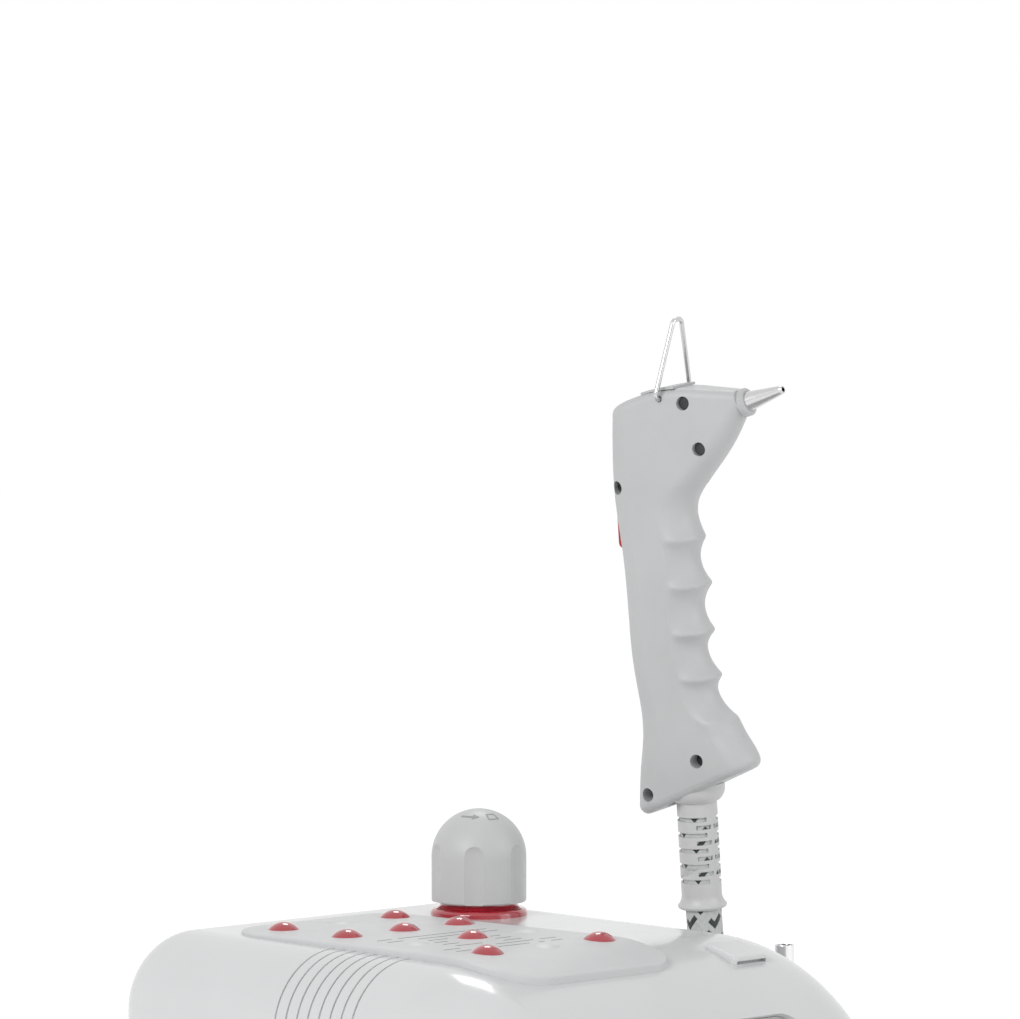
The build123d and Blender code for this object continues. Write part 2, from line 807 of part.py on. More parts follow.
def make_solenoid():
    """The steam solenoid valve: a brass body on a foot with a coil on top."""
    level = foot_height + wall
    valve = Pos(solenoid_x, solenoid_y, level) * Box(*solenoid_foot, align=BASE)
    level += solenoid_foot[2]
    valve += Pos(solenoid_x, solenoid_y, level) * Box(*solenoid_body, align=BASE)
    level += solenoid_body[2]
    coil = fillet(Box(*solenoid_coil, align=BASE).edges().filter_by(Axis.Z), 4.0)
    valve += Pos(solenoid_x, solenoid_y, level) * coil
    level += solenoid_coil[2]
    return valve + post(solenoid_x, solenoid_y, solenoid_stem, level, solenoid_top)


def tube_along(points, radius, diameter):
    """A round bar along a line of straight runs with rounded corners."""
    path = FilletPolyline(*points, radius=radius)
    direction = Vector(*points[1]) - Vector(*points[0])
    section = Plane(origin=points[0], z_dir=direction) * Circle(diameter / 2)
    return sweep(section, path=path)


def make_glands():
    """The hose gland on the right wall and the mains gland at the rear, open for its lead."""
    right = base_width / 2
    thread = hose_gland_thread / 2 - 0.1
    hose = turned(
        [(0, -14), (thread, -14), (thread, 0), (14, 0), (14, 6), (12, 7), (11, 20), (0, 20)]
    )
    hose -= Pos(0, 0, tail_depth) * Cylinder(sleeve_bore / 2, 20, align=BASE)
    hose = Pos(right, hose_gland_y, gland_height) * Rot(0, 90, 0) * hose
    thread = mains_gland_thread / 2 - 0.1
    bore = mains_lead / 2
    mains = turned(
        [(bore, -12), (thread, -12), (thread, 0), (12, 0), (12, 5), (10, 6), (7, 22), (bore, 22)]
    )
    mains = Pos(mains_gland_x, base_length / 2, mains_gland_z) * Rot(-90, 0, 0) * mains
    return hose, mains


def make_feet():
    """Four rubber feet with their stems."""
    half = foot_diameter / 2
    stem = foot_stem / 2
    outline = [
        (0, 0), (half - 2.5, 0), (half, foot_height - 2), (half, foot_height),
        (stem, foot_height), (stem, foot_height + wall + 3), (0, foot_height + wall + 3),
    ]
    return [turned(outline, x, y) for x, y in corners(foot_x, foot_y)]


def make_base_screws():
    """Four long screws from below the tray into the shell's lugs."""
    head_top = foot_height + screw_sink
    tip = parting_height + 15
    outline = [
        (0, head_top - 3), (screw_head / 2, head_top - 3), (screw_head / 2, head_top),
        (screw_shank / 2, head_top), (screw_shank / 2, tip), (0, tip),
    ]
    return [turned(outline, x, y) for x, y in corners(post_x, post_y)]


# The gun's own frame stands on the swivel, leaning a little as it hangs
swivel_w = Vector(
    -gun_side_lean * view_right[0] - gun_fore_lean * view_away[0],
    -gun_side_lean * view_right[1] - gun_fore_lean * view_away[1],
    1,
).normalized()
sleeve_foot = Vector(hose_x, hose_y, swivel_height + sleeve_low * swivel_w.Z)
swivel = sleeve_foot - swivel_w * sleeve_low
gun_plane = Plane(origin=swivel, x_dir=(gun_heading[0], gun_heading[1], 0), z_dir=swivel_w)


def on_gun(shape):
    """A shape in the gun's own frame, set in place."""
    return gun_plane.location * shape


def gun_section(height, back, front, thick, nose, grow):
    """A section of the gun: a wide rounded back and a narrower round nose."""
    corner = gun_round + grow
    tip = nose + grow
    back_u = back + gun_round
    back_t = thick / 2 - gun_round
    nose_u = front - nose
    distance = math.hypot(nose_u - back_u, back_t)
    turn = math.atan2(-back_t, nose_u - back_u) + math.acos((gun_round - nose) / distance)
    normal = (math.cos(turn), math.sin(turn))
    rear = (back_u + corner * normal[0], back_t + corner * normal[1])
    lead = (nose_u + tip * normal[0], tip * normal[1])
    spread = (turn + math.pi) / 2
    elbow = (back_u + corner * math.cos(spread), back_t + corner * math.sin(spread))
    edge = (back_u - corner, back_t)
    outline = [
        Line((edge[0], -edge[1]), edge),
        ThreePointArc(edge, elbow, rear),
        Line(rear, lead),
        ThreePointArc(lead, (nose_u + tip, 0), (lead[0], -lead[1])),
        Line((lead[0], -lead[1]), (rear[0], -rear[1])),
        ThreePointArc((rear[0], -rear[1]), (elbow[0], -elbow[1]), (edge[0], -edge[1])),
    ]
    return Pos(0, 0, height) * make_face(outline)


def gun_limit(grow):
    """The gun's side outline, which cuts its crown and its slanted foot."""
    crown = gun_top + grow
    lower = gun_bottom_height - grow * math.hypot(1, gun_bottom_rise)
    reach = 60.0
    back = gun_back_reach - grow
    outline = [
        Line((-reach, lower - reach * gun_bottom_rise), (reach, lower + reach * gun_bottom_rise)),
        Line((reach, lower + reach * gun_bottom_rise), (reach, gun_nose_height + grow)),
        Line((reach, gun_nose_height + grow), (gun_crown_start, crown)),
        TangentArc(
            (gun_crown_start, crown), (back, gun_back_height),
            tangent=(gun_crown_start - reach, gun_top - gun_nose_height),
        ),
        Line((back, gun_back_height), (-reach, gun_back_height)),
        Line((-reach, gun_back_height), (-reach, lower - reach * gun_bottom_rise)),
    ]
    return extrude(Plane.XZ * make_face(outline), amount=40, both=True)


def gun_form(grow):
    """The gun's body with its finger scoops, grown or shrunk all round."""
    body = loft([gun_section(*section, grow) for section in gun_sections])
    body = body & gun_limit(grow)
    crown = [face for face in body.faces() if face.normal_at().Z > 0.5 and face.center().Z > gun_back_height]
    middles = [(edge, edge.center()) for face in crown for edge in face.edges()]
    rim = [edge for edge, middle in middles if abs(middle.Y) > 2 or abs(middle.X - gun_crown_start) > 10]
    body = fillet(rim, gun_top_round + grow / 2)
    if grow == 0:
        foot = body.faces().sort_by(Axis.Z)[0]
        body = fillet(foot.edges(), gun_foot_round)
    for height, front in zip(scoop_heights, scoop_fronts):
        body -= Pos(0, 0, height) * scoop(front, scoop_radius - grow)
    return body


def scoop(front, radius):
    """A finger scoop's form: a round bar bent about the grip's front, with round ends."""
    side = scoop_half_width + scoop_radius
    lead = front - scoop_depth + scoop_radius
    path = FilletPolyline(
        (scoop_start, -side, 0), (lead, -side, 0), (lead, side, 0), (scoop_start, side, 0),
        radius=scoop_corner + scoop_radius,
    )
    bar = sweep(Plane(origin=(scoop_start, -side, 0), z_dir=(1, 0, 0)) * Circle(radius), path=path)
    for end in (-side, side):
        bar += Pos(scoop_start, end, 0) * Sphere(radius)
    return bar


nozzle_plane = Plane(
    origin=(nozzle_u, 0, nozzle_w),
    x_dir=(0, 1, 0),
    z_dir=(math.cos(math.radians(nozzle_angle)), 0, math.sin(math.radians(nozzle_angle))),
)


def across(u, w, diameter, start, end):
    """A round bar across the gun from one side place to another."""
    return Pos(u, (start + end) / 2, w) * Rot(90, 0, 0) * Cylinder(diameter / 2, end - start)


def make_gun_shells():
    """The two hollow halves of the gun, with screw bosses and the openings for what it holds."""
    outer = gun_form(0)
    outer -= nozzle_plane.location * Pos(0, 0, 20) * Box(60, 60, 40)
    inner = gun_form(-gun_wall)
    inner -= nozzle_plane.location * Pos(0, 0, 20 - gun_wall - 1) * Box(60, 60, 40)
    hull = outer - inner
    for u, w in boss_places:
        hull += across(u, w, boss_diameter, -40, 40) & outer
    hull += (Pos(0, 0, web_low) * Cylinder(4 * bowl_radius, web_thick, align=BASE)) & outer
    hull += (Pos(loop_u, 0, loop_w) * Box(*loop_bridge)) & outer
    hull -= Pos(0, 0, -20) * Cylinder(bowl_radius + collar_gap, 20 + bowl_top + collar_gap, align=BASE)
    hull -= Cylinder(collar_neck + collar_gap, 2 * collar_rim_low)
    hull -= across(loop_u, loop_w, loop_wire + 2 * loop_clearance, -40, 40)
    window = Box(30, trigger_width + 2 * trigger_gap, trigger_length + 2 * trigger_gap)
    hull -= Pos(-38, 0, trigger_height) * window
    hull -= nozzle_plane.location * Cylinder(nozzle_base / 2, 40)
    left = hull & (Pos(0, -50, 80) * Box(200, 100, 400))
    right = hull & (Pos(0, 50, 80) * Box(200, 100, 400))
    for u, w in boss_places:
        left -= across(u, w, counterbore, -40, -counterbore_floor)
        left -= across(u, w, gun_screw_shank + 0.5, -40, 1)
        right -= across(u, w, gun_screw_shank, -1, 11)
    return left, right


def make_gun_screws():
    """Five screws that hold the gun's halves together."""
    screws = []
    for u, w in boss_places:
        head = across(u, w, gun_screw_head, -counterbore_floor - 2.2, -counterbore_floor)
        screws.append(head + across(u, w, gun_screw_shank, -counterbore_floor, 10.5))
    return screws


def make_trigger():
    """The red thumb button with its inner flange."""
    face = gun_back(trigger_height) - trigger_proud
    flange_face = gun_back(trigger_height) + gun_wall + flange_gap
    depth = flange_face - face
    cap = Box(2 * depth, trigger_width, trigger_length)
    cap = fillet(cap.edges().filter_by(Axis.X), 3.0)
    cap = fillet(cap.edges().group_by(Axis.X)[0], 1.8)
    cap = Pos(face + depth, 0, trigger_height) * cap
    cap &= Pos(face + depth / 2 - 0.5, 0, trigger_height) * Box(depth + 1, 40, 60)
    flange = Box(flange_thick, trigger_width + 2 * flange_lip, trigger_length + 2 * flange_lip)
    flange = Pos(flange_face + flange_thick / 2, 0, trigger_height) * flange
    return cap + flange


def gun_back(height):
    """The place of the gun's back at a height, between its sections."""
    for lower, upper in zip(gun_sections, gun_sections[1:]):
        if lower[0] <= height <= upper[0]:
            share = (height - lower[0]) / (upper[0] - lower[0])
            return lower[1] + share * (upper[1] - lower[1])
    return gun_sections[0][1]


def make_microswitch():
    """The switch behind the trigger, with its plunger."""
    flange_back = gun_back(trigger_height) + gun_wall + flange_gap + flange_thick
    tip = flange_back + trigger_travel + 0.3
    case_u = tip + 1.2 + microswitch_case[0] / 2
    case = Pos(case_u, 0, trigger_height) * Box(*microswitch_case)
    return case + Pos(tip + 1, 0, trigger_height + 3) * Box(*microswitch_plunger)


def make_gun_pipe():
    """The steam pipe from the swivel up through the grip to the nozzle."""
    angle = math.radians(nozzle_angle)
    run = nozzle_root + 1
    end = (nozzle_u - run * math.cos(angle), 0, nozzle_w - run * math.sin(angle))
    run += 20
    bend = (nozzle_u - run * math.cos(angle), 0, nozzle_w - run * math.sin(angle))
    route = [(0, 0, collar_top + 1), (gun_pipe_u, 0, 50), (gun_pipe_u, 0, 132), bend, end]
    return tube_along(route, 2 * gun_pipe_diameter, gun_pipe_diameter)


def make_nozzle():
    """The tapered chrome nozzle with its bore, and the ring round its base."""
    cone = turned(
        [
            (0, -nozzle_root), (nozzle_base / 2, -nozzle_root), (nozzle_base / 2, ring_length),
            (nozzle_tip / 2, nozzle_length - 1), (nozzle_tip / 2 - 0.4, nozzle_length), (0, nozzle_length),
        ]
    )
    cone -= Pos(0, 0, 2) * Cylinder(nozzle_bore / 2, nozzle_length, align=BASE)
    ring = turned(
        [
            (nozzle_base / 2, 0), (ring_outer / 2, 0), (ring_outer / 2, ring_length - 1),
            (ring_outer / 2 - 1, ring_length), (nozzle_base / 2, ring_length),
        ]
    )
    return nozzle_plane.location * cone, nozzle_plane.location * ring


def make_loop():
    """The wire hanging loop, its two ends sprung into the bore across the gun."""
    top = loop_w + loop_height
    end_gap = 0.6
    path = FilletPolyline(
        (loop_u, end_gap, loop_w),
        (loop_u, loop_half_width, loop_w),
        (loop_u + loop_lean, loop_top_half_width, top),
        (loop_u + loop_lean, -loop_top_half_width, top),
        (loop_u, -loop_half_width, loop_w),
        (loop_u, -end_gap, loop_w),
        radius=[loop_foot_bend, loop_top_bend, loop_top_bend, loop_foot_bend],
    )
    section = Plane(origin=(loop_u, end_gap, loop_w), z_dir=(0, 1, 0)) * Circle(loop_wire / 2)
    return sweep(section, path=path)


def make_saddle():
    """The saddle plate bent over the gun's crown above the loop's bore."""
    block = Box(saddle_front - saddle_back, 2 * saddle_half_width, 40)
    block = Pos((saddle_front + saddle_back) / 2, 0, loop_w) * block
    return (gun_limit(saddle_thick) & block) - gun_limit(0)


def make_swivel():
    """The swivel collar in the gun's foot and the slotted strain relief sleeve below it."""
    bowl = [
        Line((0, sleeve_top), (bowl_foot_radius, sleeve_top)),
        TangentArc((bowl_radius, bowl_full), (bowl_foot_radius, sleeve_top), tangent=(0, -1)),
        Line((bowl_radius, bowl_full), (bowl_radius, bowl_top)),
        Line((bowl_radius, bowl_top), (0, bowl_top)),
        Line((0, bowl_top), (0, sleeve_top)),
    ]
    collar = revolve(Plane.XZ * make_face(bowl), Axis.Z)
    collar += Pos(0, 0, bowl_top) * Cylinder(collar_neck, collar_top - bowl_top, align=BASE)
    collar += Pos(0, 0, collar_rim_low) * Cylinder(collar_rim, collar_top - collar_rim_low, align=BASE)
    collar -= Cylinder(3, 60)
    half = sleeve_outer / 2
    flare = sleeve_flare / 2
    side = [
        Line((sleeve_bore / 2, sleeve_low), (flare - 0.8, sleeve_low)),
        TangentArc((flare - 0.8, sleeve_low), (flare, sleeve_low + 1.4), tangent=(1, 0.4)),
        TangentArc((flare, sleeve_low + 1.4), (half, sleeve_low + flare_height), tangent=(-1, 1)),
        Line((half, sleeve_low + flare_height), (half, sleeve_top)),
        Line((half, sleeve_top), (sleeve_bore / 2, sleeve_top)),
        Line((sleeve_bore / 2, sleeve_top), (sleeve_bore / 2, sleeve_low)),
    ]
    sleeve = revolve(Plane.XZ * make_face(side), Axis.Z)
    wedge = Plane.XZ * (Pos(sleeve_bore / 2, 0) * Rectangle(8, slot_height))
    wide_rows = [slot_first - index * slot_pitch for index in range(slot_rows)]
    narrow_rows = [height - slot_pitch / 2 for height in wide_rows[:-1]]
    slots = [(height, start, wide_slot) for height in wide_rows for start in wide_starts]
    slots += [(height, start, narrow_slot) for height in narrow_rows for start in narrow_starts]
    for height, start, spread in slots:
        sleeve -= Pos(0, 0, height) * Rot(0, 0, start) * revolve(wedge, Axis.Z, spread)
    return collar, sleeve


def arc_radius(before, corner, after):
    """The largest bend that two runs of a hose's route leave room for."""
    first = Vector(*corner) - Vector(*before)
    second = Vector(*after) - Vector(*corner)
    half_turn = math.radians(first.get_angle(second)) / 2
    return 0.45 * min(first.length, second.length) / math.tan(half_turn)


def hose_along(name, points):
    """A hose along its route, with its bends as large as the runs allow."""
    radii = [arc_radius(*points[i - 1:i + 2]) for i in range(1, len(points) - 1)]
    path = FilletPolyline(*points, radius=radii)
    start = Vector(*points[1]) - Vector(*points[0])
    solid = sweep(Plane(origin=points[0], z_dir=start) * Circle(hose_diameter / 2), path=path)
    share = solid.volume / (path.length * math.pi * hose_diameter ** 2 / 4)
    print(name, "radii", [round(radius) for radius in radii])
    print(name, "length", round(path.length), "share", round(share, 4))
    return solid


hose_level = hose_diameter / 2 + floor_gap
bend_step = math.radians(15)
hose_foot_y = hose_y - hose_lean
riser_end = hose_foot_y + bend_radius + bend_radius * math.tan(bend_step)
coil_y = riser_end + hose_diameter
reverse_quarter = quarters_in + quarters_climb / 2


def riser_route():
    """The hose's route from the swivel collar down beside the base to the coil."""
    top = swivel + swivel_w * sleeve_top
    below = sleeve_foot - swivel_w * riser_run
    reach = bend_radius / math.cos(bend_step)
    middle_y = hose_foot_y + bend_radius
    middle_z = hose_level + bend_radius
    bend = []
    for step in (1, 3, 5):
        turn = step * bend_step
        bend.append((hose_x, middle_y - reach * math.cos(turn), middle_z - reach * math.sin(turn)))
    return [
        (top.X, top.Y, top.Z),
        (below.X, below.Y, below.Z),
        (hose_x + riser_offset, hose_foot_y, riser_middle),
        *bend,
        (hose_x, riser_end, hose_level),
    ]


def coil_point(quarter):
    """A place on the coil after a number of quarter turns, and its direction."""
    from_reverse = quarter - reverse_quarter
    radius = coil_radius - coil_pitch * (reverse_quarter - abs(from_reverse)) / 4
    risen = min(1.0, max(0.0, (quarter - quarters_in) / quarters_climb))
    climb = 0.0
    if 0 < risen < 1:
        climb = coil_lift / (quarters_climb / 4)
    drift = 0.0
    if quarter not in (0, reverse_quarter, coil_quarters[-1]):
        drift = math.copysign(coil_pitch, from_reverse)
    turn = math.pi - quarter * math.pi / 2
    along = 2 * math.pi * radius
    level = hose_level + coil_lift * risen
    place = Vector(coil_x + radius * math.cos(turn), coil_y + radius * math.sin(turn), level)
    direction = Vector(
        along * math.sin(turn) + drift * math.cos(turn),
        -along * math.cos(turn) + drift * math.sin(turn),
        climb,
    )
    return place, direction.normalized()


def biarc(start, start_way, end, end_way):
    """Two arcs that join two places smoothly."""
    chord = end - start
    ways = start_way + end_way
    spare = 2 * (1 - start_way.dot(end_way))
    ahead = chord.dot(ways)
    reach = (math.sqrt(ahead ** 2 + spare * chord.dot(chord)) - ahead) / spare
    middle = (start + start_way * reach + end - end_way * reach) * 0.5
    first = Edge.make_tangent_arc(start, start_way, middle)
    second = Edge.make_tangent_arc(end, end_way * -1, middle)
    return [first, second]


def make_coil():
    """The spare hose wound in two layers, in along the floor and out again on top."""
    places = [coil_point(quarter) for quarter in coil_quarters]
    entry = places[0][0] - places[0][1] * hose_diameter
    leave = places[-1][0] + places[-1][1] * hose_diameter
    edges = [Edge.make_line(entry, places[0][0])]
    for (start, start_way), (end, end_way) in zip(places, places[1:]):
        edges += biarc(start, start_way, end, end_way)
    edges.append(Edge.make_line(places[-1][0], leave))
    path = Wire(edges)
    solid = sweep(Plane(origin=entry, z_dir=places[0][1]) * Circle(hose_diameter / 2), path=path)
    samples = 600
    points = [path.position_at(index / samples) for index in range(samples + 1)]
    apart = int(samples * 3 * hose_diameter / path.length)
    least = min(
        (points[i] - points[j]).length
        for i in range(samples + 1) for j in range(i + apart, samples + 1)
    )
    share = solid.volume / (path.length * math.pi * hose_diameter ** 2 / 4)
    print("hose_coil length", round(path.length), "share", round(share, 4))
    print("hose_coil least gap to itself", round(least - hose_diameter, 2))
    return solid, leave


def make_tie():
    """The strap round the coil's turns, on the side away from the base."""
    turns = [coil_point(quarter)[0].X - coil_x for quarter in (2, 6, 10)]
    width = max(turns) - min(turns) + hose_diameter + tie_slack
    height = coil_lift + hose_diameter + tie_slack
    middle = (max(turns) + min(turns)) / 2
    band = RectangleRounded(width + 2 * tie_thick, height + 2 * tie_thick, tie_corner + tie_thick)
    band -= RectangleRounded(width, height, tie_corner)
    strap = extrude(Plane.XZ * band, amount=tie_width / 2, both=True)
    return Pos(coil_x + middle, coil_y, hose_level + coil_lift / 2) * strap


def tail_route(leave):
    """The hose's route from the coil back to the gland on the base."""
    gland = base_width / 2 + tail_depth
    start = leave - Vector(1, 1, 0).normalized() * tail_run
    return [
        (leave.X, leave.Y, leave.Z),
        (start.X, start.Y, start.Z),
        tail_corner,
        (tail_turn_x, hose_gland_y, gland_height),
        (gland, hose_gland_y, gland_height),
    ]


# Every node's solids by name
nodes = {}
nodes["top_shell"] = make_top_shell()
nodes["base_tray"] = make_base_tray()
nodes["iron_rest_pad"] = make_pad()
nodes["rest_studs"] = make_studs()
neck, collar, plug, cap = make_filler()
nodes["filler_neck"] = neck
nodes["filler_collar"] = collar
nodes["cap_plug"] = plug
nodes["cap_knob"] = cap
panel, switch_frame, switch_rocker, lamps = make_panel_set()
nodes["control_panel"] = panel
nodes["switch_frame"] = switch_frame
nodes["switch_rocker"] = switch_rocker
nodes["heating_lamp"] = lamps[0]
nodes["ready_lamp"] = lamps[1]
nodes["clip_plate"] = make_clip()
tube, clamps = make_socket()
nodes["support_socket"] = tube
nodes["socket_clamps"] = clamps
tank, brackets = make_boiler()
nodes["boiler_tank"] = tank
nodes["boiler_brackets"] = brackets
nodes["heating_element"] = make_element()
nodes.update(make_fittings())
hose_gland, mains_gland = make_glands()
nodes["hose_gland"] = hose_gland
nodes["mains_gland"] = mains_gland
nodes["feet"] = make_feet()
nodes["base_screws"] = make_base_screws()
left, right = make_gun_shells()
nodes["gun_shell_left"] = on_gun(left)
nodes["gun_shell_right"] = on_gun(right)
nodes["gun_screws"] = [on_gun(screw) for screw in make_gun_screws()]
nodes["trigger_button"] = on_gun(make_trigger())
nodes["microswitch"] = on_gun(make_microswitch())
nodes["gun_steam_pipe"] = on_gun(make_gun_pipe())
nozzle, ring = make_nozzle()
nodes["nozzle"] = on_gun(nozzle)
nodes["nozzle_ring"] = on_gun(ring)
nodes["hanging_loop"] = on_gun(make_loop())
nodes["loop_saddle"] = on_gun(make_saddle())
swivel_collar, sleeve = make_swivel()
nodes["swivel_collar"] = on_gun(swivel_collar)
nodes["strain_relief"] = on_gun(sleeve)
nodes["hose_riser"] = hose_along("hose_riser", riser_route())
coil, coil_leave = make_coil()
nodes["hose_coil"] = coil
nodes["hose_tail"] = hose_along("hose_tail", tail_route(coil_leave))
nodes["hose_tie"] = make_tie()

os.makedirs("parts", exist_ok=True)
for name, made in nodes.items():
    solids = made if isinstance(made, list) else [made]
    children = [solid for item in solids for solid in item.solids()]
    export_step(Compound(children=children), f"parts/{name}.step")
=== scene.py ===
# Looks of the garment steamer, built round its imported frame. Metres, +Z up.
import bisect
import math
import bmesh
import bpy
import numpy as np
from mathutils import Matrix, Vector
from mathutils.bvhtree import BVHTree
from mathutils.interpolate import poly_3d_calc


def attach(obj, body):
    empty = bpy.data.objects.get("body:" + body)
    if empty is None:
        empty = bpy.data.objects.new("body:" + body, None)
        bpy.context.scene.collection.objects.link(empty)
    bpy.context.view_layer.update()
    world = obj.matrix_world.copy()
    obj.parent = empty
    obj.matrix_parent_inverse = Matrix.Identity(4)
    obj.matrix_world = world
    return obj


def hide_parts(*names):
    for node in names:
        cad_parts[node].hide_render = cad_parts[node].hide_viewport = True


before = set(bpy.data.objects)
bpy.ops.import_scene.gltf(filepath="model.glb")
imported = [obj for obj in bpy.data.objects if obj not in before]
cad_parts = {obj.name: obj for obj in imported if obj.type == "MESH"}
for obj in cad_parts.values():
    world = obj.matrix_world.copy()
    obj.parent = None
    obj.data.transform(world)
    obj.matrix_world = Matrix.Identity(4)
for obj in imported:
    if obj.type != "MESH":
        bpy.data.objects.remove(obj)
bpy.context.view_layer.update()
scene = bpy.context.scene
scene.view_settings.view_transform = "Standard"
MM = 0.001

# Camera at the photograph's angle, in degrees, through a long lens
CAMERA_PLACE = (-1.495478, -1.574273, 0.494132)
CAMERA_HEADING = -43.357
CAMERA_PITCH = 2.175
CAMERA_LENS = 176.47

camera_data = bpy.data.cameras.new("camera")
camera_data.lens = CAMERA_LENS
camera_data.sensor_width = 36.0
camera_data.clip_end = 50.0
camera = bpy.data.objects.new("camera", camera_data)
camera.location = CAMERA_PLACE
camera.rotation_euler = (math.radians(90 - CAMERA_PITCH), 0, math.radians(CAMERA_HEADING))
scene.collection.objects.link(camera)
scene.camera = camera


def link(name, data):
    """A new object of the scene."""
    made = bpy.data.objects.new(name, data)
    scene.collection.objects.link(made)
    return made


def link_mesh(name, mesh):
    """A new object of the scene from a finished edit mesh."""
    data = bpy.data.meshes.new(name)
    mesh.to_mesh(data)
    mesh.free()
    return link(name, data)


def smooth(obj):
    """Smooth shading on every face."""
    for face in obj.data.polygons:
        face.use_smooth = True
    return obj


# Node helpers for the procedural materials
class Shade:
    """One material with its shader and short ways to add nodes."""

    def __init__(self, name, color, rough, metal=0.0):
        self.made = bpy.data.materials.new(name)
        self.made.use_nodes = True
        self.nodes = self.made.node_tree.nodes
        self.links = self.made.node_tree.links
        self.shader = self.nodes["Principled BSDF"]
        self.color = color
        self.set("Base Color", (*color, 1))
        self.set("Roughness", rough)
        self.set("Metallic", metal)
        self.rough = rough
        self.place = self.nodes.new("ShaderNodeTexCoord")

    def set(self, socket, value):
        """Sets one of the shader's own values."""
        self.shader.inputs[socket].default_value = value

    def join(self, output, socket):
        """Links an output to a socket."""
        self.links.new(output, socket)

    def noise(self, scale, detail=2.0, stretch=None):
        """Noise in the object's own metres."""
        node = self.nodes.new("ShaderNodeTexNoise")
        node.inputs["Scale"].default_value = scale
        node.inputs["Detail"].default_value = detail
        source = self.place.outputs["Object"]
        if stretch:
            mapping = self.nodes.new("ShaderNodeMapping")
            mapping.inputs["Scale"].default_value = stretch
            self.join(source, mapping.inputs["Vector"])
            source = mapping.outputs["Vector"]
        self.join(source, node.inputs["Vector"])
        return node.outputs["Fac"]

    def span(self, value, low, high, start=0.3, end=0.7):
        """A value carried from one range into another."""
        node = self.nodes.new("ShaderNodeMapRange")
        for socket, number in zip(("From Min", "From Max", "To Min", "To Max"), (start, end, low, high)):
            node.inputs[socket].default_value = number
        self.join(value, node.inputs["Value"])
        return node.outputs["Result"]

    def math(self, kind, first, second=0.0):
        """Arithmetic on one or two values."""
        node = self.nodes.new("ShaderNodeMath")
        node.operation = kind
        for socket, value in zip(node.inputs, (first, second)):
            if isinstance(value, (int, float)):
                socket.default_value = value
            else:
                self.join(value, socket)
        return node.outputs[0]

    def blend(self, share, first, second):
        """Two colours mixed by a share."""
        node = self.nodes.new("ShaderNodeMix")
        node.data_type = "RGBA"
        self.join(share, node.inputs["Factor"])
        for socket, value in ((node.inputs[6], first), (node.inputs[7], second)):
            if isinstance(value, tuple):
                socket.default_value = (*value, 1)
            else:
                self.join(value, socket)
        return node.outputs[2]

    def mottle(self, scale, amount):
        """A faint patchy change of the colour."""
        darker = tuple(part * (1 - amount) for part in self.color)
        lighter = tuple(min(1.0, part * (1 + amount)) for part in self.color)
        tone = self.blend(self.span(self.noise(scale, 3.0), 0.0, 1.0), darker, lighter)
        self.join(tone, self.shader.inputs["Base Color"])
        return self

    def worn(self, scale, spread):
        """Roughness that varies from place to place."""
        rough = self.span(self.noise(scale, 4.0), self.rough - spread, self.rough + spread)
        self.join(rough, self.shader.inputs["Roughness"])
        return self

    def grain(self, scale, depth, stretch=None, strength=0.5):
        """A fine moulded or brushed surface."""
        bump = self.nodes.new("ShaderNodeBump")
        bump.inputs["Strength"].default_value = strength
        bump.inputs["Distance"].default_value = depth
        self.join(self.noise(scale, 3.0, stretch), bump.inputs["Height"])
        self.join(bump.outputs["Normal"], self.shader.inputs["Normal"])
        return self


def surface(name, color, rough, patch, wear, grain, metal=0.0):
    """A material with a faint mottle, uneven gloss and a fine grain."""
    return Shade(name, color, rough, metal).mottle(*patch).worn(*wear).grain(*grain)


def dress(material, *names):
    """Gives CAD nodes or pieces a material."""
    for name in names:
        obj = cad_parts.get(name) or bpy.data.objects[name]
        obj.data.materials.clear()
        obj.data.materials.append(material.made)


white_shell = surface("white_shell", (0.66, 0.665, 0.67), 0.2, (30, 0.012), (60, 0.03), (900, 0.00003))
white_shell.set("Coat Weight", 0.3)
white_shell.set("Coat Roughness", 0.08)
grey_pad = surface("grey_pad", (0.62, 0.625, 0.63), 0.42, (45, 0.015), (80, 0.05), (2600, 0.00006))
grey_gun = surface("grey_gun", (0.53, 0.535, 0.54), 0.45, (40, 0.02), (70, 0.05), (3000, 0.00008))
grey_cap = surface("grey_cap", (0.55, 0.555, 0.555), 0.42, (50, 0.02), (70, 0.05), (2800, 0.00007))
pale_sleeve = surface("pale_sleeve", (0.6, 0.605, 0.6), 0.4, (60, 0.02), (90, 0.05), (2400, 0.00005))
red_silicone = surface("red_silicone", (0.40, 0.008, 0.022), 0.12, (80, 0.05), (120, 0.05), (1500, 0.00003))
for socket, value in (("Coat Weight", 1.0), ("Coat IOR", 1.58), ("Coat Roughness", 0.05)):
    red_silicone.set(socket, value)
red_gloss = surface("red_gloss", (0.42, 0.01, 0.02), 0.18, (80, 0.04), (120, 0.04), (1500, 0.00002))
panel_grey = surface("panel_grey", (0.48, 0.48, 0.475), 0.38, (50, 0.015), (90, 0.05), (2600, 0.00005))
dark_plastic = surface("dark_plastic", (0.03, 0.031, 0.033), 0.45, (60, 0.1), (90, 0.06), (2600, 0.00006))
rubber = surface("rubber", (0.035, 0.035, 0.036), 0.75, (60, 0.12), (90, 0.06), (2000, 0.0001))
chrome = surface("chrome", (0.78, 0.78, 0.79), 0.09, (60, 0.02), (140, 0.03), (900, 0.00001), metal=1.0)
satin = surface("satin_metal", (0.6, 0.6, 0.605), 0.2, (60, 0.02), (140, 0.04), (900, 0.00001), metal=1.0)
steel = surface(
    "steel", (0.55, 0.55, 0.55), 0.3, (60, 0.04), (140, 0.05), (600, 0.00002, (1, 1, 12)), metal=1.0,
)
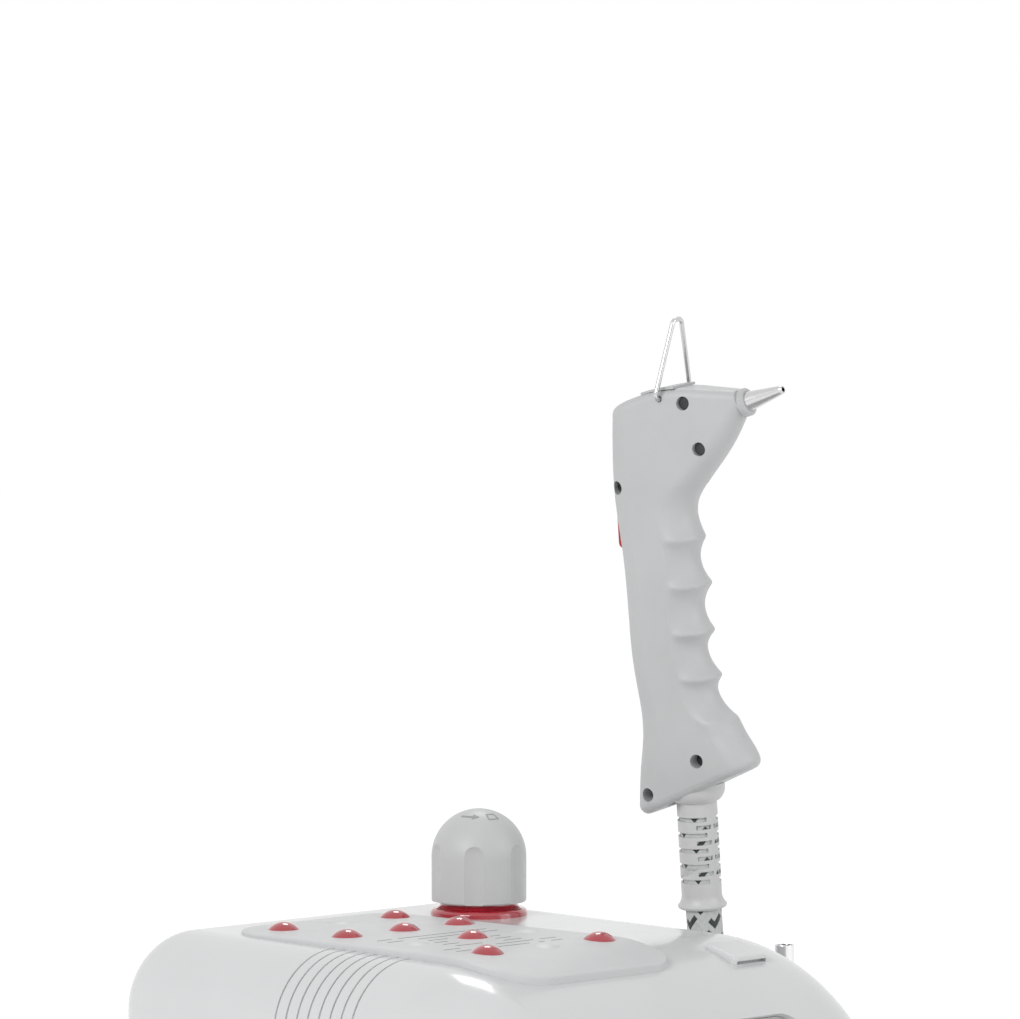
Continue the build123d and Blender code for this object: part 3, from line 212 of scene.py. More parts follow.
brass = surface("brass", (0.66, 0.46, 0.19), 0.3, (60, 0.06), (140, 0.06), (900, 0.00002), metal=1.0)
amber_lens = surface("amber_lens", (0.75, 0.28, 0.02), 0.15, (150, 0.05), (160, 0.03), (1200, 0.00002))
green_lens = surface("green_lens", (0.05, 0.42, 0.09), 0.15, (150, 0.05), (160, 0.03), (1200, 0.00002))

dress(white_shell, "top_shell", "base_tray", "clip_plate", "socket_clamps")
dress(grey_pad, "iron_rest_pad")
dress(red_silicone, "rest_studs", "filler_collar")
dress(red_gloss, "trigger_button", "switch_rocker")
dress(grey_cap, "cap_knob")
dress(grey_gun, "gun_shell_left", "gun_shell_right", "nozzle_ring", "loop_saddle")
dress(pale_sleeve, "swivel_collar", "strain_relief", "hose_gland", "cap_plug")
dress(panel_grey, "control_panel")
dress(dark_plastic, "gun_screws", "switch_frame", "mains_gland")
dress(dark_plastic, "microswitch", "terminal_block", "pressure_switch")
dress(rubber, "feet")
dress(chrome, "support_socket")
dress(satin, "nozzle", "hanging_loop")
dress(steel, "boiler_tank", "boiler_brackets", "heating_element", "base_screws")
dress(steel, "steam_pipe", "outlet_pipe", "gun_steam_pipe")
dress(brass, "filler_neck", "safety_valve", "solenoid_valve", "drain_plug", "thermostat")
dress(amber_lens, "heating_lamp")
dress(green_lens, "ready_lamp")

# Finger grooves: the shells' grip is re-formed so that hollows meet in ridges and fade out on the sides
GUN_PLACE = Vector((0.1302487, 0.0235629, 0.279))
GUN_AXES = (
    Vector((0.20771, -0.978187, -0.002498)),
    Vector((0.972576, 0.206244, 0.107514)),
    Vector((-0.104654, -0.024762, 0.9942)),
)
GUN_SECTIONS = (
    # Height, back, front, thickness and nose radius of the plain body in millimetres
    (-14, -26.2, 33, 34, 12), (10, -23.2, 33, 34, 12), (24, -21.3, 29, 33, 12), (38, -21.5, 19.6, 32, 12.5),
    (56, -24.4, 14.2, 31, 13.5), (84, -26.1, 11.4, 30.5, 14), (112, -27.6, 10.2, 30, 14),
    (134, -29.9, 8.8, 30, 13), (148, -30.2, 19, 30, 11.5), (162, -29.8, 30.5, 29.5, 10),
    (176, -29.2, 39, 28, 8), (192, -28.6, 40, 26, 8),
)
GUN_BACK_ROUND = 10.0
GUN_WALL = 2.2
# Height of each hollow with its depth, and of the ridge under it with its rise, in millimetres
GROOVES = (
    ((132.0, 0.7), (116.8, 1.2)), ((106.7, 3.4), (95.7, 1.1)), ((85.4, 3.1), (74.0, 0.8)),
    ((65.7, 4.0), (53.4, 0.8)), ((46.3, 2.9), (34.1, 0.8)),
)
# Ends of the grooves' line, where they begin and are full behind the front, and how far a ridge is rounded
GROOVE_TOP = 143.0
GROOVE_LOW = 27.0
GROOVE_START = 12.5
GROOVE_FULL = 4.5
RIDGE_ROUND = 0.9
RIDGE_TAPS = (-1.0, -0.5, 0.0, 0.5, 1.0)
# The formed stretch in millimetres by height and from the back, with the run-in at each end
GRIP_RANGE = (25.0, 30.0, 141.0, 145.0)
GRIP_EDGE = (-11.0, -7.6)
# How finely the stretch is cut, and what is welded or dissolved first, in metres
GRIP_STEP = 0.0012
GRIP_HALVINGS = 7
WELD_REACH = 1e-7
SLIVER_REACH = 2e-6
LEAST_AREA = 1e-12
# What counts as the seam, in millimetres and as a cosine, as the outside, and as formed
SEAM_REACH = 0.1
SEAM_FLAT = 0.999
SURE_FACING = 0.02
OUTWARD = 0.05
CORNER_INSET = 0.02
FORMED_SHARE = 0.5


def spline_through(knots, values):
    """A smooth function through values at knots."""
    count = len(knots)
    steps = [after - before for before, after in zip(knots, knots[1:])]
    slopes = [(after - before) / step for before, after, step in zip(values, values[1:], steps)]
    grid = np.eye(count)
    right = np.zeros(count)
    for index in range(1, count - 1):
        left, ahead = steps[index - 1], steps[index]
        grid[index, index - 1:index + 2] = (left, 2 * (left + ahead), ahead)
        right[index] = 6 * (slopes[index] - slopes[index - 1])
    bends = np.linalg.solve(grid, right)

    def at(place):
        index = min(max(bisect.bisect(knots, place) - 1, 0), count - 2)
        step = steps[index]
        ahead = (place - knots[index]) / step
        behind = 1 - ahead
        bend = (behind ** 3 - behind) * bends[index] + (ahead ** 3 - ahead) * bends[index + 1]
        return behind * values[index] + ahead * values[index + 1] + bend * step ** 2 / 6

    return at


section_heights = [section[0] for section in GUN_SECTIONS]
section_lines = [spline_through(section_heights, column) for column in list(zip(*GUN_SECTIONS))[1:]]


def plain_grip(u, t, height):
    """How far a place is outside the plain grip, the way out there, and the front at that height."""
    back, front, thick, nose = [line(height) for line in section_lines]
    back_u = back + GUN_BACK_ROUND
    back_t = thick / 2 - GUN_BACK_ROUND
    nose_u = front - nose
    reach = math.hypot(nose_u - back_u, back_t)
    turn = math.atan2(-back_t, nose_u - back_u) + math.acos((GUN_BACK_ROUND - nose) / reach)
    turn = min(turn, math.atan2(abs(t), u - nose_u))
    way = (math.cos(turn), math.sin(turn))
    outside = (u - nose_u) * way[0] + abs(t) * way[1] - nose
    return outside, (way[0], math.copysign(way[1], t)), front


def groove_line(height):
    """Depth of the grooves' line below the plain grip at a height, less than nothing on a ridge."""
    if height > GROOVE_TOP or height < GROOVE_LOW:
        return 0.0
    upper = (GROOVE_TOP, 0.0)
    for (hollow, depth), (ridge, proud) in GROOVES:
        if height >= ridge:
            end, rise = upper if height > hollow else (ridge, proud)
            return depth - (depth + rise) * ((height - hollow) / (end - hollow)) ** 2
        upper = (ridge, proud)
    return -proud * ((height - GROOVE_LOW) / (ridge - GROOVE_LOW)) ** 2


def ramp(value, start, end):
    """Nothing before the start, one after the end."""
    return min(1.0, max(0.0, (value - start) / (end - start)))


def shade_as(data, source, turned, ways):
    """Corner normals: as turned where the grip is formed, else as the CAD mesh has them."""
    places = [vert.co for vert in source.vertices]
    tree = BVHTree.FromPolygons(places, [face.vertices for face in source.polygons])
    corner_normals = [corner.vector for corner in source.corner_normals]
    normals = []
    for face in data.polygons:
        for index in face.vertices:
            if index in turned and face.normal.dot(ways[index]) > OUTWARD:
                normals.append(turned[index])
                continue
            inset = data.vertices[index].co.lerp(face.center, CORNER_INSET)
            near, _, number, _ = tree.find_nearest(inset)
            found = source.polygons[number]
            shares = poly_3d_calc([places[corner] for corner in found.vertices], near)
            parts = [corner_normals[loop] * share for loop, share in zip(found.loop_indices, shares)]
            normals.append(sum(parts, Vector()).normalized())
    data.normals_split_custom_set(normals)


def grip_place(vert):
    """A corner's place along the gun's own axes, in millimetres."""
    return [(vert.co - GUN_PLACE).dot(axis) / MM for axis in GUN_AXES]


def in_grip(vert):
    """Whether a corner is in the stretch that is formed."""
    u, _, height = grip_place(vert)
    return u > GRIP_EDGE[0] and GRIP_RANGE[0] < height < GRIP_RANGE[3]


def on_seam(edge):
    """Whether an edge lies in the flat seam between the two halves."""
    flat = all(abs(face.normal.dot(GUN_AXES[1])) > SEAM_FLAT for face in edge.link_faces)
    return flat and all(abs(grip_place(vert)[1]) < SEAM_REACH for vert in edge.verts)


def refine_grip(mesh):
    """Cuts the grip's faces small enough to be formed."""
    mesh.normal_update()
    for _ in range(GRIP_HALVINGS):
        near = {vert for vert in mesh.verts if in_grip(vert)}
        long = [edge for edge in mesh.edges if edge.calc_length() > GRIP_STEP]
        long = [edge for edge in long if not near.isdisjoint(edge.verts) and not on_seam(edge)]
        bmesh.ops.subdivide_edges(mesh, edges=long, cuts=1)
        bmesh.ops.triangulate(mesh, faces=[face for face in mesh.faces if len(face.verts) > 3])
    mesh.normal_update()
    mesh.verts.index_update()


def grip_move(vert):
    """The way out of the grip at a corner, the move that forms it, and whether it is formed outside."""
    u, t, height = grip_place(vert)
    outside, way, front = plain_grip(u, t, height)
    out = GUN_AXES[0] * way[0] + GUN_AXES[1] * way[1]
    areas = [face.calc_area() for face in vert.link_faces]
    facing = sum(face.normal.dot(out) * area for face, area in zip(vert.link_faces, areas))
    facing /= max(sum(areas), LEAST_AREA)
    wall = GUN_WALL * (1 - ramp(facing, -SURE_FACING, SURE_FACING))
    line = sum(groove_line(height + tap * RIDGE_ROUND) for tap in RIDGE_TAPS) / len(RIDGE_TAPS)
    fade = ramp(u - outside * way[0], front - GROOVE_START, front - GROOVE_FULL)
    depth = line * fade * (2 - fade) + wall
    low = ramp(height, *GRIP_RANGE[:2])
    high = ramp(-height, -GRIP_RANGE[3], -GRIP_RANGE[2])
    share = low * high * ramp(u, *GRIP_EDGE)
    return out, out * -(outside + depth) * share * MM, wall == 0 and share > FORMED_SHARE


def move_grip(mesh):
    """Forms the grip, and gives the way out at each corner that is formed outside."""
    moves = [(vert, *grip_move(vert)) for vert in mesh.verts if in_grip(vert)]
    for vert, _, move, _ in moves:
        vert.co += move
    mesh.normal_update()
    return {vert.index: out for vert, out, _, formed in moves if formed}


def outer_normals(mesh, ways):
    """Normals of the corners with a way out, by the areas of their outer faces."""
    normals = {}
    for vert in mesh.verts:
        if vert.index in ways:
            outer = [face for face in vert.link_faces if face.normal.dot(ways[vert.index]) > OUTWARD]
            total = sum((face.normal * face.calc_area() for face in outer), Vector())
            normals[vert.index] = total.normalized()
    return normals


def form_grip(name, node):
    """A copy of a gun shell with its finger grooves formed."""
    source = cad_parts[node].data
    mesh = bmesh.new()
    mesh.from_mesh(source)
    bmesh.ops.remove_doubles(mesh, verts=mesh.verts, dist=WELD_REACH)
    bmesh.ops.dissolve_degenerate(mesh, edges=mesh.edges, dist=SLIVER_REACH)
    refine_grip(mesh)
    ways = move_grip(mesh)
    turned = outer_normals(mesh, ways)
    made = smooth(link_mesh(name, mesh))
    shade_as(made.data, source, turned, ways)
    dress(grey_gun, name)
    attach(made, "gun")
    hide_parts(node)


form_grip("gun_half_left", "gun_shell_left")
form_grip("gun_half_right", "gun_shell_right")

# Steam hose: down from the gun, round its put-away coil and back into the base
HOSE_DIAMETER = 0.0164
HOSE_STEPS = 8
HOSE_SIDES = 32
HOSE_LEVEL = 0.0098
COIL_MIDDLE = (0.2299, 0.144951)
COIL_RADIUS = 0.094
COIL_PITCH = 0.017
LAYER_RISE = 0.017
# In quarter turns: the coil's step and length, its inmost place and its climb to the upper layer
COIL_STEP = 0.25
COIL_QUARTERS = 10.5
COIL_INMOST = 5
CLIMB_START = 4
CLIMB_END = 6
RISER_ROUTE = (
    (0.13072, 0.023674, 0.274526), (0.138202, 0.025445, 0.203441), (0.1369, 0.0119, 0.140),
    (0.1359, 0.0119, 0.077149), (0.1359, 0.036551, 0.034451), (0.1359, 0.079249, 0.0098),
    (0.1359, 0.128551, 0.0098),
)
TAIL_ROUTE = (
    (0.286274, 0.065384, 0.0268), (0.274253, 0.053363, 0.0268), (0.2435, 0.0224, 0.0245),
    (0.180, 0.0, 0.030), (0.128, 0.0, 0.030),
)
# Weave of the sleeve: strands each way, their slant, the repeat, and the threads in a strand
BRAID_STRANDS = 16
BRAID_SLANT = 0.9
BRAID_REPEAT = 4.0
BRAID_OVER = 1.5
BRAID_DARK = 0.5
BRAID_THREADS = 5
BRAID_BUMP = 0.6
BRAID_RELIEF = 0.0004
CROWN_POWER = 0.5
THREAD_RELIEF = 0.12


def coil_points():
    """Control points of the coil: in along the floor, up a layer and out again."""
    outside = 1 / math.cos(COIL_STEP * math.pi / 4)
    points = []
    for index in range(int(COIL_QUARTERS / COIL_STEP) + 1):
        quarter = index * COIL_STEP
        radius = COIL_RADIUS - COIL_PITCH * (COIL_INMOST - abs(quarter - COIL_INMOST)) / 4
        turn = math.pi - quarter * math.pi / 2
        level = HOSE_LEVEL + LAYER_RISE * ramp(quarter, CLIMB_START, CLIMB_END)
        x = COIL_MIDDLE[0] + radius * outside * math.cos(turn)
        y = COIL_MIDDLE[1] + radius * outside * math.sin(turn)
        points.append((x, y, level))
    return points


def spline_points(name, route, steps):
    """The smooth line through a route's control points."""
    data = bpy.data.curves.new(name, "CURVE")
    data.dimensions = "3D"
    spline = data.splines.new("NURBS")
    spline.points.add(len(route) - 1)
    for point, place in zip(spline.points, route):
        point.co = (*place, 1)
    spline.order_u = 3
    spline.use_endpoint_u = True
    spline.resolution_u = steps
    holder = link(name, data)
    bpy.context.view_layer.update()
    shown = holder.evaluated_get(bpy.context.evaluated_depsgraph_get())
    line = bpy.data.meshes.new_from_object(shown)
    points = [vertex.co.copy() for vertex in line.vertices]
    bpy.data.objects.remove(holder)
    bpy.data.meshes.remove(line)
    return points


def tube(name, points, radius, sides):
    """A round tube along points, with its length in metres and its turn as texture places."""
    mesh = bmesh.new()
    layer = mesh.loops.layers.uv.new("UVMap")
    across = Vector((0, 1, 0))
    rings = []
    lengths = [0.0]
    for index, point in enumerate(points):
        before = points[max(0, index - 1)]
        after = points[min(len(points) - 1, index + 1)]
        way = (after - before).normalized()
        across = (across - way * across.dot(way)).normalized()
        side = way.cross(across)
        ring = []
        for step in range(sides):
            turn = 2 * math.pi * step / sides
            ring.append(mesh.verts.new(point + (across * math.cos(turn) + side * math.sin(turn)) * radius))
        rings.append(ring)
        if index:
            lengths.append(lengths[-1] + (point - points[index - 1]).length)
    for row in range(len(rings) - 1):
        for step in range(sides):
            ahead = (step + 1) % sides
            first, second = rings[row], rings[row + 1]
            face = mesh.faces.new((first[step], first[ahead], second[ahead], second[step]))
            corners = ((step, row), (step + 1, row), (step + 1, row + 1), (step, row + 1))
            for loop, (turn, along) in zip(face.loops, corners):
                loop[layer].uv = (lengths[along], turn / sides)
    mesh.faces.new(list(reversed(rings[0])))
    mesh.faces.new(rings[-1])
    mesh.normal_update()
    return smooth(link_mesh(name, mesh)), lengths[-1]


def braid_material():
    """Woven sleeve: white strands with dark ones among them, each over two and under two, with painted
    shade between the threads.
    """
    made = Shade("braid", (0.62, 0.64, 0.63), 0.7)
    rise = BRAID_STRANDS / (math.pi * HOSE_DIAMETER) * BRAID_SLANT
    split = made.nodes.new("ShaderNodeSeparateXYZ")
    made.join(made.place.outputs["UV"], split.inputs[0])
    around = made.math("MULTIPLY", split.outputs[1], float(BRAID_STRANDS))
    along = made.math("MULTIPLY", split.outputs[0], rise)
    first = made.math("ADD", around, along)
    second = made.math("SUBTRACT", around, along)
    first_number = made.math("FLOOR", first)
    second_number = made.math("FLOOR", second)
    order = made.math("FLOORED_MODULO", made.math("ADD", first_number, second_number), BRAID_REPEAT)
    on_top = made.math("LESS_THAN", order, BRAID_OVER)
    below = made.math("SUBTRACT", 1.0, on_top)

    def whichever(upper, lower):
        """The first strand's value where it lies on top, else the second's."""
        return made.math("ADD", made.math("MULTIPLY", on_top, upper), made.math("MULTIPLY", below, lower))

    def is_dark(number):
        """One for the dark strand of each repeat, else nothing."""
        return made.math("LESS_THAN", made.math("FLOORED_MODULO", number, BRAID_REPEAT), BRAID_DARK)

    dark = whichever(is_dark(first_number), is_dark(second_number))
    part = whichever(made.math("FRACT", first), made.math("FRACT", second))
    threads = made.math("SINE", made.math("MULTIPLY", part, BRAID_THREADS * 2 * math.pi))
    crown = made.math("SINE", made.math("MULTIPLY", part, math.pi))
    # Painted shade: each strand is darker in the grooves between its threads and lighter on their crests
    crest = made.span(threads, 0.0, 1.0, -1.0, 1.0)
    pale = made.blend(crest, (0.47, 0.49, 0.48), (0.66, 0.68, 0.67))
    deep = made.blend(crest, (0.012, 0.020, 0.018), (0.05, 0.066, 0.06))
    made.join(made.blend(dark, pale, deep), made.shader.inputs["Base Color"])
    bump = made.nodes.new("ShaderNodeBump")
    bump.inputs["Strength"].default_value = BRAID_BUMP
    bump.inputs["Distance"].default_value = BRAID_RELIEF
    fine = made.math("MULTIPLY", threads, THREAD_RELIEF)
    height = made.math("ADD", made.math("POWER", crown, CROWN_POWER), fine)
    made.join(height, bump.inputs["Height"])
    made.join(bump.outputs["Normal"], made.shader.inputs["Normal"])
    made.set("Sheen Weight", 0.2)
    return made


hose_line = spline_points("hose_line", [*RISER_ROUTE, *coil_points(), *TAIL_ROUTE], HOSE_STEPS)
hose, hose_length = tube("steam_hose", hose_line, HOSE_DIAMETER / 2, HOSE_SIDES)
braid = braid_material()
hose.data.materials.append(braid.made)
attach(hose, "base")
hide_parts("hose_riser", "hose_coil", "hose_tail")

# Hook-and-loop strap round the coil's turns, its free end lapped over itself
STRAP_WIDTH = 0.012
STRAP_THICK = 0.0009
STRAP_LAP = 0.026
STRAP_STEPS = 150
STRAP_ACROSS = (-1, -0.5, 0, 0.5, 1)
# The strap's seat and the lift of its lap in thicknesses, and the least width at its round tip
STRAP_SEAT = 0.8
LAP_START = 0.86
LAP_LIFT = 1.08
TIP_LEAST = 0.05
RIM_STEPS = 90
TURN_PLACES = ((0.0855, 0.0098), (0.077, 0.0268), (0.094, 0.0268))


def outer_ring(points):
    """The outermost of a flat set of points, in order round it."""
    ring = []
    for run in (sorted(points, key=tuple), sorted(points, key=tuple, reverse=True)):
        side = []
        for point in run:
            while len(side) > 1 and (side[-1] - side[-2]).cross(point - side[-2]) <= 0:
                side.pop()
            side.append(point)
        ring += side[:-1]
    return ring


def make_strap():
    """A flat band that hugs the turns once round and overlaps."""
    reach = HOSE_DIAMETER / 2 + STRAP_SEAT * STRAP_THICK
    rims = set()
    for x, z in TURN_PLACES:
        for step in range(RIM_STEPS):
            turn = 2 * math.pi * step / RIM_STEPS
            rims.add((x + reach * math.cos(turn), z + reach * math.sin(turn)))
    ring = outer_ring([Vector(place) for place in sorted(rims)])
    start = max(range(len(ring)), key=lambda index: ring[index].x)
    ring = ring[start:] + ring[:start]
    runs = [(after - before).length for before, after in zip(ring, ring[1:] + ring[:1])]
    whole = sum(runs)
    mesh = bmesh.new()
    rows = []
    for step in range(STRAP_STEPS + 1):
        along = (whole + STRAP_LAP) * step / STRAP_STEPS
        rest = along % whole
        index = 0
        while rest > runs[index]:
            rest -= runs[index]
            index = (index + 1) % len(runs)
        before, after = ring[index], ring[(index + 1) % len(ring)]
        way = (after - before).normalized()
        out = LAP_LIFT * STRAP_THICK * ramp(along / whole, LAP_START, 1.0)
        place = before + way * rest + Vector((way.y, -way.x)) * out
        left = max(0.0, 1 - (whole + STRAP_LAP - along) / (STRAP_WIDTH / 2))
        half = STRAP_WIDTH / 2 * math.sqrt(max(TIP_LEAST, 1 - left ** 2))
        row = []
        for side in STRAP_ACROSS:
            row.append(mesh.verts.new((COIL_MIDDLE[0] + place.x, COIL_MIDDLE[1] + side * half, place.y)))
        rows.append(row)
    for first, second in zip(rows, rows[1:]):
        for side in range(len(STRAP_ACROSS) - 1):
            mesh.faces.new((first[side], first[side + 1], second[side + 1], second[side]))
    mesh.normal_update()
    made = smooth(link_mesh("hose_strap", mesh))
    thick = made.modifiers.new("thickness", "SOLIDIFY")
    thick.thickness = STRAP_THICK
    thick.offset = 0.0
    return made


strap = make_strap()
webbing = surface(
    "webbing", (0.022, 0.023, 0.025), 0.85, (300, 0.25), (200, 0.08), (1900, 0.0003, (1, 3, 1), 0.9),
)
webbing.set("Sheen Weight", 0.4)
dress(webbing, "hose_strap")
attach(strap, "base")
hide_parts("hose_tie")

# Printed and moulded marks: each is a thin slab between a sunk and a raised outline
PRINT_LIFT = 0.00006
MARK_SINK = 0.0003


class Marks:
    """Thin slabs gathered into one piece."""

    def __init__(self, name, material, body, slot):
        self.mesh = bmesh.new()
        self.name = name
        self.material = material
        self.body = body
        self.slot = slot

    def slab(self, below, above):
        """A closed slab between two outlines with the same number of corners."""
        low = [self.mesh.verts.new(place) for place in below]
        high = [self.mesh.verts.new(place) for place in above]
        self.mesh.faces.new(low[::-1])
        self.mesh.faces.new(high)
        count = len(low)
        for index in range(count):
            ahead = (index + 1) % count
            self.mesh.faces.new((low[index], low[ahead], high[ahead], high[index]))

    def done(self):
        """Makes the finished piece, riding its body."""
        bmesh.ops.recalc_face_normals(self.mesh, faces=self.mesh.faces)
        made = link_mesh(self.name, self.mesh)
        dress(self.material, self.name)
        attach(made, self.body)


# Fine stripes printed across the rest pad, in millimetres
STRIPE_FIRST = 20.2
STRIPE_PITCH = 7.75
STRIPE_WIDTH = 0.75
STRIPE_END_STEPS = 4
STRIPE_ROWS = (
    ((-68, -60.5), (-56, -4.5)), ((-69, -60.5), (-51.5, -5)), ((-52.5, -42),), ((-56, -49), (-23, -18)),
    ((-58, -49.5), (-27.5, -19)), ((-58, -43), (-30, -20)), ((-72, -63), (-42, -20.5), (-16, -7)),
    ((-72, -64), (-48, -30), (-24, -21), (-16.5, -10.5)),
)
PAD_CREST = (-42.0, 228.3)
PAD_REAR = (111.0, 226.0)


def pad_height(y):
    """The pad's height behind its crest."""
    share = (y - PAD_CREST[0]) / (PAD_REAR[0] - PAD_CREST[0])
    return PAD_CREST[1] + share * (PAD_REAR[1] - PAD_CREST[1])


ink = surface("ink", (0.08, 0.082, 0.085), 0.5, (400, 0.1), (300, 0.06), (2600, 0.00003))
stripes = Marks("pad_stripes", ink, "base", "grey_pad")
for row, dashes in enumerate(STRIPE_ROWS):
    middle = STRIPE_FIRST - row * STRIPE_PITCH
    for left, right in dashes:
        outline = []
        for end, turn in ((right, -90), (left, 90)):
            for step in range(STRIPE_END_STEPS + 1):
                angle = math.radians(turn + step * 180 / STRIPE_END_STEPS)
                reach = STRIPE_WIDTH / 2
                outline.append((end + reach * math.cos(angle), middle + reach * math.sin(angle)))
        level = [Vector((x, y, pad_height(y))) * MM for x, y in outline]
        stripes.slab([place - Vector((0, 0, MARK_SINK)) for place in level],
                     [place + Vector((0, 0, PRINT_LIFT)) for place in level])
stripes.done()

# Moulded turning arrow and stop square on the cap's dome, by turn and angle from the top in degrees
DOME_MIDDLE = Vector((0.0438, 0.0764, 0.2515))
DOME_RADIUS = 0.0215
DOME_FRONT = -133.0
MARK_LIFT = 0.00022
STRIP_STEPS = 6
ARROW_SHAFT = ((-46, 31.2), (-13, 31.2), (-13, 28.8), (-46, 28.8))
ARROW_HEAD = ((-15, 35), (0, 30.4), (0, 29.6), (-15, 25))
SQUARE_LEFT = (20, 22.6)
SQUARE_RIGHT = (43.4, 46)
SQUARE_NEAR = (34.4, 35.6)
SQUARE_FAR = (24.4, 25.6)


def on_dome(turn, polar, lift):
    """A place on the dome by its turn from the front and its angle from the top, in degrees."""
    round_turn = math.radians(DOME_FRONT + turn)
    fall = math.radians(polar)
    flat = math.sin(fall)
    way = Vector((flat * math.cos(round_turn), flat * math.sin(round_turn), math.cos(fall)))
    return DOME_MIDDLE + way * (DOME_RADIUS + lift)


def dome_strip(marks, corners):
    """A slab on the dome over a four-cornered field of turn and polar angles, in short steps."""
    first, second, third, fourth = [Vector(corner) for corner in corners]
    for step in range(STRIP_STEPS):
        start, end = step / STRIP_STEPS, (step + 1) / STRIP_STEPS
        near = (first.lerp(second, start), first.lerp(second, end))
        far = (fourth.lerp(third, end), fourth.lerp(third, start))
        below = [on_dome(*place, -MARK_SINK) for place in near + far]
        marks.slab(below, [on_dome(*place, MARK_LIFT) for place in near + far])


# The marks' grey is darker than the cap's: painted shade for the shadowed edges of their relief
moulded = surface("moulded_mark_painted_shade", (0.33, 0.335, 0.34), 0.5, (200, 0.05), (200, 0.05), (2800, 0.00005))
cap_marks = Marks("cap_marks", moulded, "cap_knob", "grey_cap")
dome_strip(cap_marks, ARROW_SHAFT)
dome_strip(cap_marks, ARROW_HEAD)
for inner, outer in (SQUARE_NEAR, SQUARE_FAR):
    left, right = SQUARE_LEFT[0], SQUARE_RIGHT[1]
    dome_strip(cap_marks, ((left, outer), (right, outer), (right, inner), (left, inner)))
for left, right in (SQUARE_LEFT, SQUARE_RIGHT):
    near, far = SQUARE_NEAR[0], SQUARE_FAR[1]
    dome_strip(cap_marks, ((left, near), (right, near), (right, far), (left, far)))
cap_marks.done()

# On and off marks on the rocker's two slopes
ROCKER_PIVOT = Vector((-0.03, -0.117995, 0.173122))
ROCKER_UP = Vector((0, 0.510543, 0.859852))
ROCKER_OUT = Vector((0, -0.859852, 0.510543))
ROCKER_TILT = math.radians(8)
ROCKER_CREASE = 0.0052
ROCKER_SLOPE = 3.4 / 26.2
ROCKER_MARK = 0.0072
ON_HALF = (0.0004, 0.0022)
OFF_RADII = (0.0016, 0.0023)
OFF_STEPS = 24


def on_rocker(along, up, lift):
    """A place on the rocker's face by its distance along it and up it from the pivot."""
    out = ROCKER_CREASE + abs(along) * ROCKER_SLOPE + lift
    side = along * math.cos(ROCKER_TILT) + out * math.sin(ROCKER_TILT)
    height = out * math.cos(ROCKER_TILT) - along * math.sin(ROCKER_TILT)
    return ROCKER_PIVOT + Vector((side, 0, 0)) + ROCKER_UP * up + ROCKER_OUT * height


white_ink = surface("white_ink", (0.75, 0.75, 0.74), 0.45, (400, 0.03), (300, 0.05), (2600, 0.00003))
rocker_marks = Marks("rocker_marks", white_ink, "rocker", "white_shell")


def rocker_slab(outline):
    """A printed slab on the rocker's face."""
    below = [on_rocker(*place, -MARK_SINK) for place in outline]
    rocker_marks.slab(below, [on_rocker(*place, PRINT_LIFT) for place in outline])


ends = ((-1, -1), (1, -1), (1, 1), (-1, 1))
rocker_slab([(-ROCKER_MARK + side * ON_HALF[0], end * ON_HALF[1]) for side, end in ends])
for step in range(OFF_STEPS):
    inner, outer = OFF_RADII
    field = []
    for reach, turn in ((outer, step), (outer, step + 1), (inner, step + 1), (inner, step)):
        angle = 2 * math.pi * turn / OFF_STEPS
        field.append((ROCKER_MARK + reach * math.cos(angle), reach * math.sin(angle)))
    rocker_slab(field)
rocker_marks.done()

# Pale floor, white surroundings and soft studio lamps
FLOOR_SIDES = 96
FLOOR_RADIUS = 12.0
FLOOR_GLOW = 1.42
FLOOR_SHARE = 0.55
WORLD_LIGHT = 0.54
LAMP_AIM = Vector((0.05, 0.02, 0.25))
LAMPS = (
    # Name, place, width in metres and power in watts of each square lamp
    ("key", (-2.2, -0.3, 1.5), 1.0, 26.0),
    ("fill", (0.9, -1.9, 1.0), 1.2, 10.0),
    ("rim", (0.95, 1.0, 1.9), 0.5, 5.0),
)

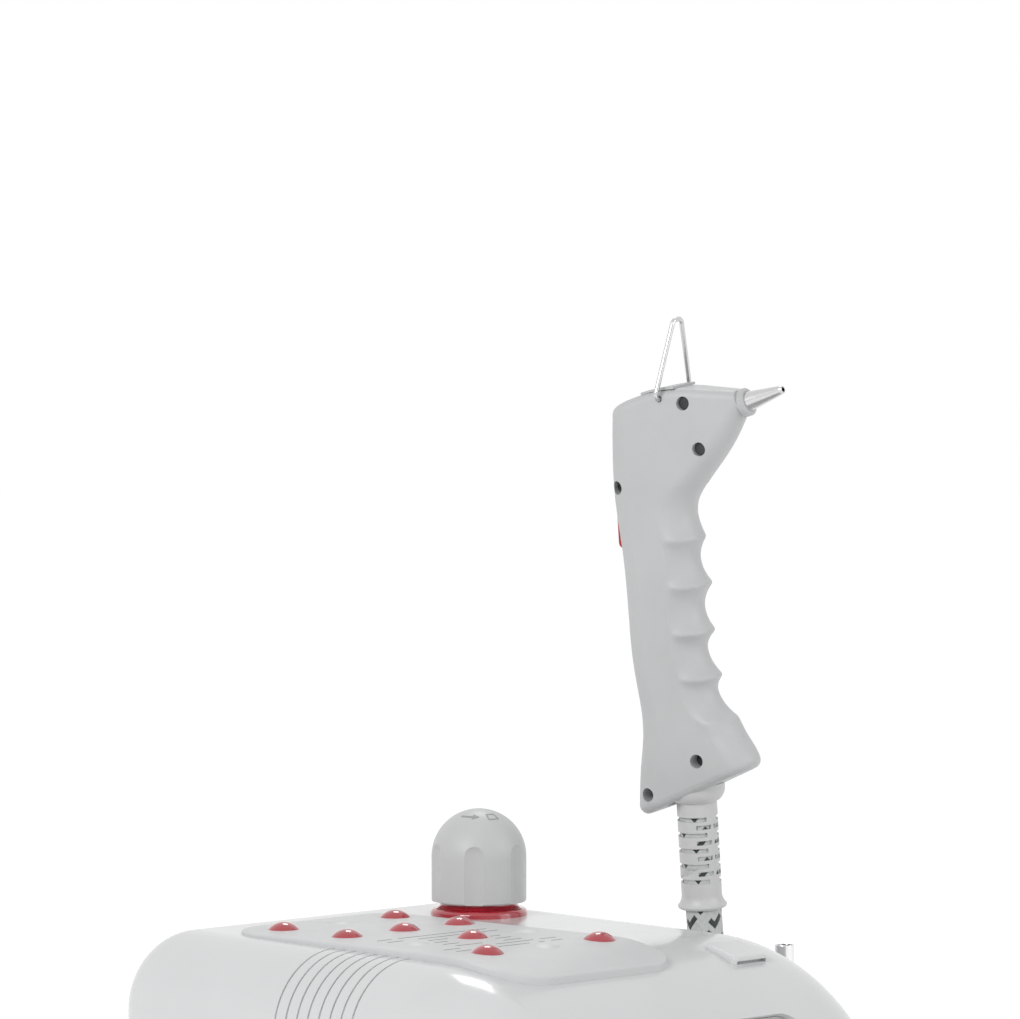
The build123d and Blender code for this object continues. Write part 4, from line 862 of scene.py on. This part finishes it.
floor_mesh = bmesh.new()
bmesh.ops.create_circle(floor_mesh, cap_ends=True, segments=FLOOR_SIDES, radius=FLOOR_RADIUS)
floor = link_mesh("floor", floor_mesh)
floor_shade = Shade("floor", (0.9, 0.9, 0.9), 0.7)


def seen_rays(nodes, links):
    """One for rays from the camera, from gloss and through glass, else nothing."""
    rays = nodes.new("ShaderNodeLightPath")
    total = rays.outputs["Is Camera Ray"]
    for name in ("Is Glossy Ray", "Is Transmission Ray"):
        larger = nodes.new("ShaderNodeMath")
        larger.operation = "MAXIMUM"
        links.new(total, larger.inputs[0])
        links.new(rays.outputs[name], larger.inputs[1])
        total = larger.outputs[0]
    return total


glow = floor_shade.nodes.new("ShaderNodeEmission")
glow.inputs["Color"].default_value = (1, 1, 1, 1)
glow.inputs["Strength"].default_value = FLOOR_GLOW
mixed = floor_shade.nodes.new("ShaderNodeMixShader")
floor_share = floor_shade.math("MULTIPLY", seen_rays(floor_shade.nodes, floor_shade.links), FLOOR_SHARE)
floor_shade.join(floor_share, mixed.inputs[0])
floor_shade.join(floor_shade.shader.outputs[0], mixed.inputs[1])
floor_shade.join(glow.outputs[0], mixed.inputs[2])
floor_shade.join(mixed.outputs[0], floor_shade.nodes["Material Output"].inputs[0])
floor.data.materials.append(floor_shade.made)

world = bpy.data.worlds.new("studio")
scene.world = world
world.use_nodes = True
sky = world.node_tree
background = sky.nodes["Background"]
level = sky.nodes.new("ShaderNodeMapRange")
level.inputs["To Min"].default_value = WORLD_LIGHT
level.inputs["To Max"].default_value = 1.0
sky.links.new(seen_rays(sky.nodes, sky.links), level.inputs["Value"])
sky.links.new(level.outputs["Result"], background.inputs["Strength"])
background.inputs["Color"].default_value = (1, 1, 1, 1)

for name, place, size, power in LAMPS:
    lamp_data = bpy.data.lights.new(name, "AREA")
    lamp_data.shape = "SQUARE"
    lamp_data.size = size
    lamp_data.energy = power
    lamp = link(name, lamp_data)
    lamp.location = place
    lamp.rotation_euler = (LAMP_AIM - lamp.location).to_track_quat("-Z", "Y").to_euler()
